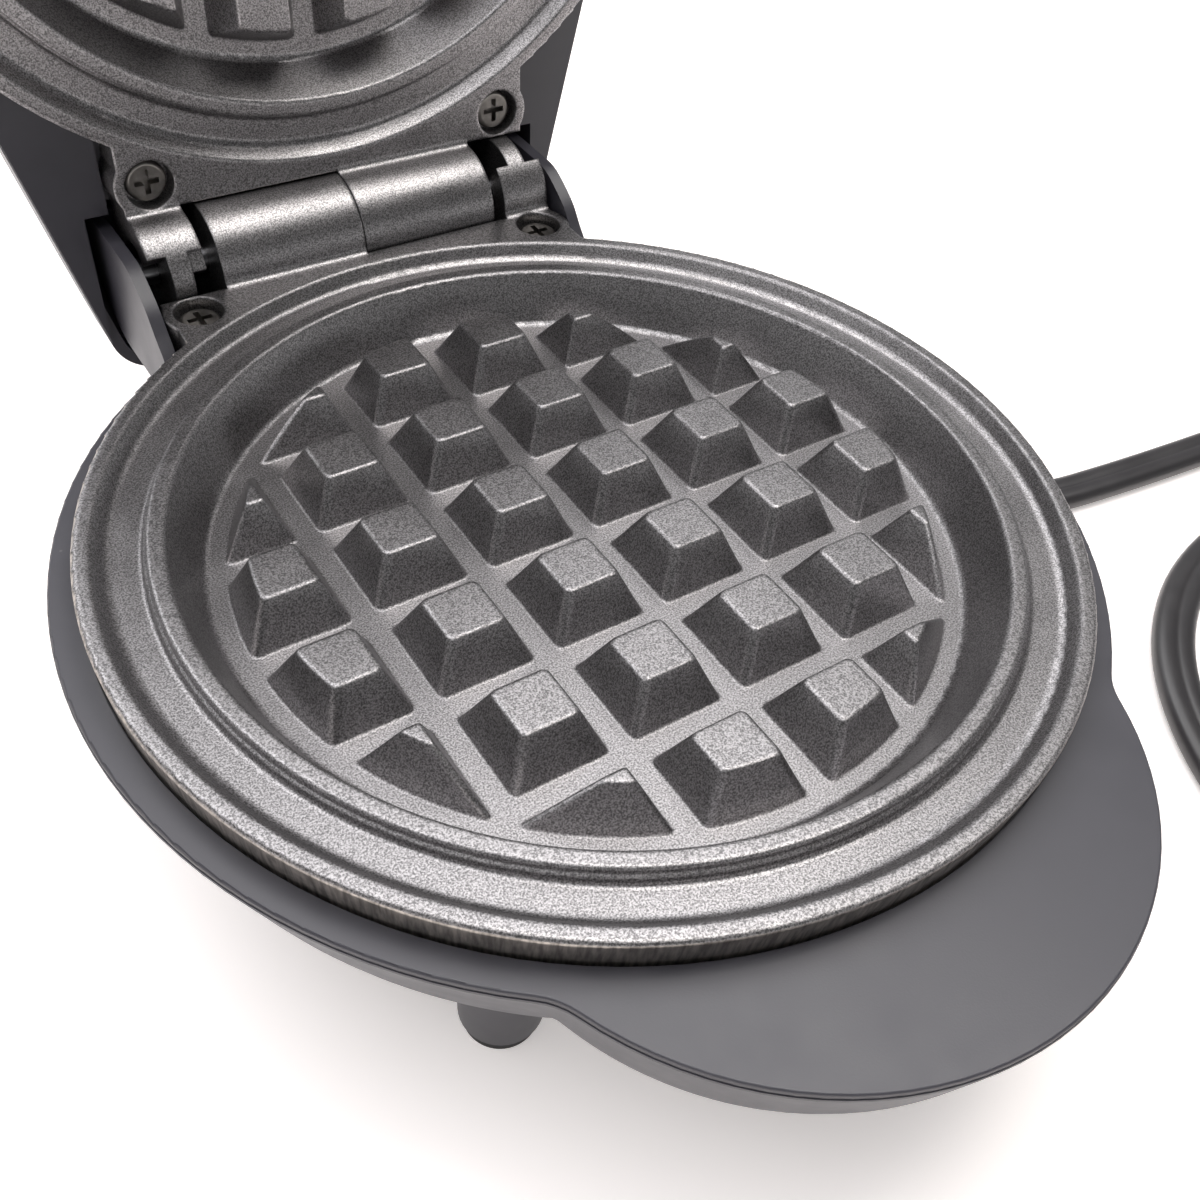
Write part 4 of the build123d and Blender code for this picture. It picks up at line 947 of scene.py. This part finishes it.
@dataclass(frozen=True)
class SoftBox:
    """Square soft light that faces the maker, in metres and watts."""

    name: str
    at: tuple[float, float, float]
    size: float
    power: float
    colour: str
    aim: tuple[float, float, float] = (0.0, 0.0, 0.03)

    def build(self) -> None:
        """Hang the light."""
        data = bpy.data.lights.new(self.name, "AREA")
        data.shape = "SQUARE"
        data.size = self.size
        data.energy = self.power
        data.color = linear(self.colour)[:3]
        light = bpy.data.objects.new(self.name, data)
        light.location = self.at
        toward = Vector(self.aim) - Vector(self.at)
        light.rotation_euler = toward.to_track_quat("-Z", "Y").to_euler()
        bpy.context.scene.collection.objects.link(light)


@dataclass
class Studio:
    """White table top under a large soft box, in a room that is darker overhead.

    The room's strength falls from the horizon to the height zenith_from, and what gloss
    and glass see of it is white at the horizon and falls to backdrop_top. The card's
    own glow, which only the eye and reflections see, grows to white from lift_near to
    lift_far, so the table has no far edge.
    """

    floor_colour: str = "f6f1ef"
    floor_half: float = 8.0
    floor_roughness: float = 0.8
    floor_lift: float = 0.46
    lift_near: float = 0.35
    lift_far: float = 1.1
    ring_strength: float = 0.4
    ring_from: float = 0.08
    zenith_strength: float = 0.15
    zenith_from: float = 0.42
    backdrop_from: float = 0.04
    backdrop_top: float = 0.3
    lights: tuple[SoftBox, ...] = (
        SoftBox("overhead", (-0.08, 0.34, 1.12), 1.85, 28.0, "fdfcfd"),
        SoftBox("overhead_lamp", (0.36, -0.06, 1.1), 0.36, 3.2, "fffaf2"),
        SoftBox("window_behind", (-0.1, 1.0, 0.72), 0.95, 3.4, "fbfcff"),
    )

    def seen(self, tree: bpy.types.NodeTree) -> bpy.types.NodeSocket:
        """Pick the rays that show the background: to the eye, in gloss and through glass.

        Args:
            tree: Node tree of the floor or the world.

        Returns:
            One for such a ray, zero for one that only lights the object.
        """
        rays = add_node(tree, "ShaderNodeLightPath").outputs
        share = rays["Is Camera Ray"]
        for kind in ("Is Glossy Ray", "Is Transmission Ray"):
            both = add_node(
                tree,
                "ShaderNodeMath",
                settings={"operation": "ADD", "use_clamp": True},
                links={0: share, 1: rays[kind]},
            )
            share = both.outputs["Value"]
        return share

    def build_world(self) -> bpy.types.World:
        """Make a room that is dimmer overhead, and white behind the table to the eye.

        Returns:
            The world.
        """
        world = bpy.data.worlds.new("studio")
        world.use_nodes = True
        tree = world.node_tree
        direction = add_node(tree, "ShaderNodeTexCoord").outputs["Generated"]
        height = add_node(tree, "ShaderNodeSeparateXYZ", links={"Vector": direction}).outputs["Z"]
        ring, backdrop = (
            add_node(
                tree,
                "ShaderNodeMapRange",
                settings={"interpolation_type": "SMOOTHSTEP"},
                values={1: low, 2: high, 3: horizon, 4: self.zenith_strength},
                links={"Value": height},
            ).outputs["Result"]
            for low, high, horizon in (
                (self.ring_from, self.zenith_from, self.ring_strength),
                (self.backdrop_from, self.backdrop_top, 1.0),
            )
        )
        to_eye = add_node(tree, "ShaderNodeLightPath").outputs["Is Camera Ray"]
        behind = add_node(
            tree,
            "ShaderNodeMath",
            settings={"operation": "MAXIMUM"},
            links={0: backdrop, 1: to_eye},
        ).outputs["Value"]
        strength = add_node(
            tree,
            "ShaderNodeMix",
            links={"Factor": self.seen(tree), 2: ring, 3: behind},
        ).outputs[0]
        background = tree.nodes["Background"].inputs
        background["Color"].default_value = linear("ffffff")
        tree.links.new(strength, background["Strength"])
        return world

    def floor_finish(self) -> bpy.types.Material:
        """Make matt white card that shows white to the eye and in reflections.

        Returns:
            The material, which still takes the object's shadow.
        """
        material = bpy.data.materials.new("white_matt_card")
        material.use_nodes = True
        tree = material.node_tree
        shader = tree.nodes["Principled BSDF"]
        shader.inputs["Base Color"].default_value = linear(self.floor_colour)
        shader.inputs["Roughness"].default_value = self.floor_roughness
        shader.inputs["Emission Color"].default_value = linear(self.floor_colour)
        where = add_node(tree, "ShaderNodeTexCoord").outputs["Object"]
        away = add_node(
            tree,
            "ShaderNodeVectorMath",
            settings={"operation": "LENGTH"},
            links={0: where},
        )
        lift = add_node(
            tree,
            "ShaderNodeMapRange",
            settings={"interpolation_type": "SMOOTHSTEP"},
            values={1: self.lift_near, 2: self.lift_far, 3: self.floor_lift, 4: 1.0},
            links={"Value": away.outputs["Value"]},
        ).outputs["Result"]
        shown = add_node(
            tree,
            "ShaderNodeMath",
            settings={"operation": "MULTIPLY"},
            links={0: self.seen(tree), 1: lift},
        )
        tree.links.new(shown.outputs["Value"], shader.inputs["Emission Strength"])
        return material

    def build_floor(self) -> bpy.types.Object:
        """Lay the white table top.

        Returns:
            The floor's object.
        """
        half = self.floor_half
        mesh = bpy.data.meshes.new("table_top")
        corners = [(-half, -half, 0), (half, -half, 0), (half, half, 0), (-half, half, 0)]
        mesh.from_pydata(corners, [], [(0, 1, 2, 3)])
        floor = bpy.data.objects.new("table_top", mesh)
        floor.data.materials.append(self.floor_finish())
        bpy.context.scene.collection.objects.link(floor)
        return floor

    def build(self) -> None:
        """Set the world, the floor and the lights."""
        scene = bpy.context.scene
        scene.view_settings.view_transform = "Standard"
        scene.world = self.build_world()
        self.build_floor()
        for light in self.lights:
            light.build()
            LOG.info("light %s", light.name)


def main() -> None:
    """Build the camera, the finishes, the lead with its tie, and the studio."""
    logging.basicConfig(level=logging.INFO)
    PhotoCamera().build()
    made = Finishes().dress()
    for piece in (FlatLead().build(made["jacket"]), CoilTie().build(made["tie"])):
        LOG.info("%s with %d faces", piece.name, len(piece.data.polygons))
    Studio().build()
    LOG.info("waffle maker dressed")


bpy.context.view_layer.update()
if __name__ == "__main__":
    main()
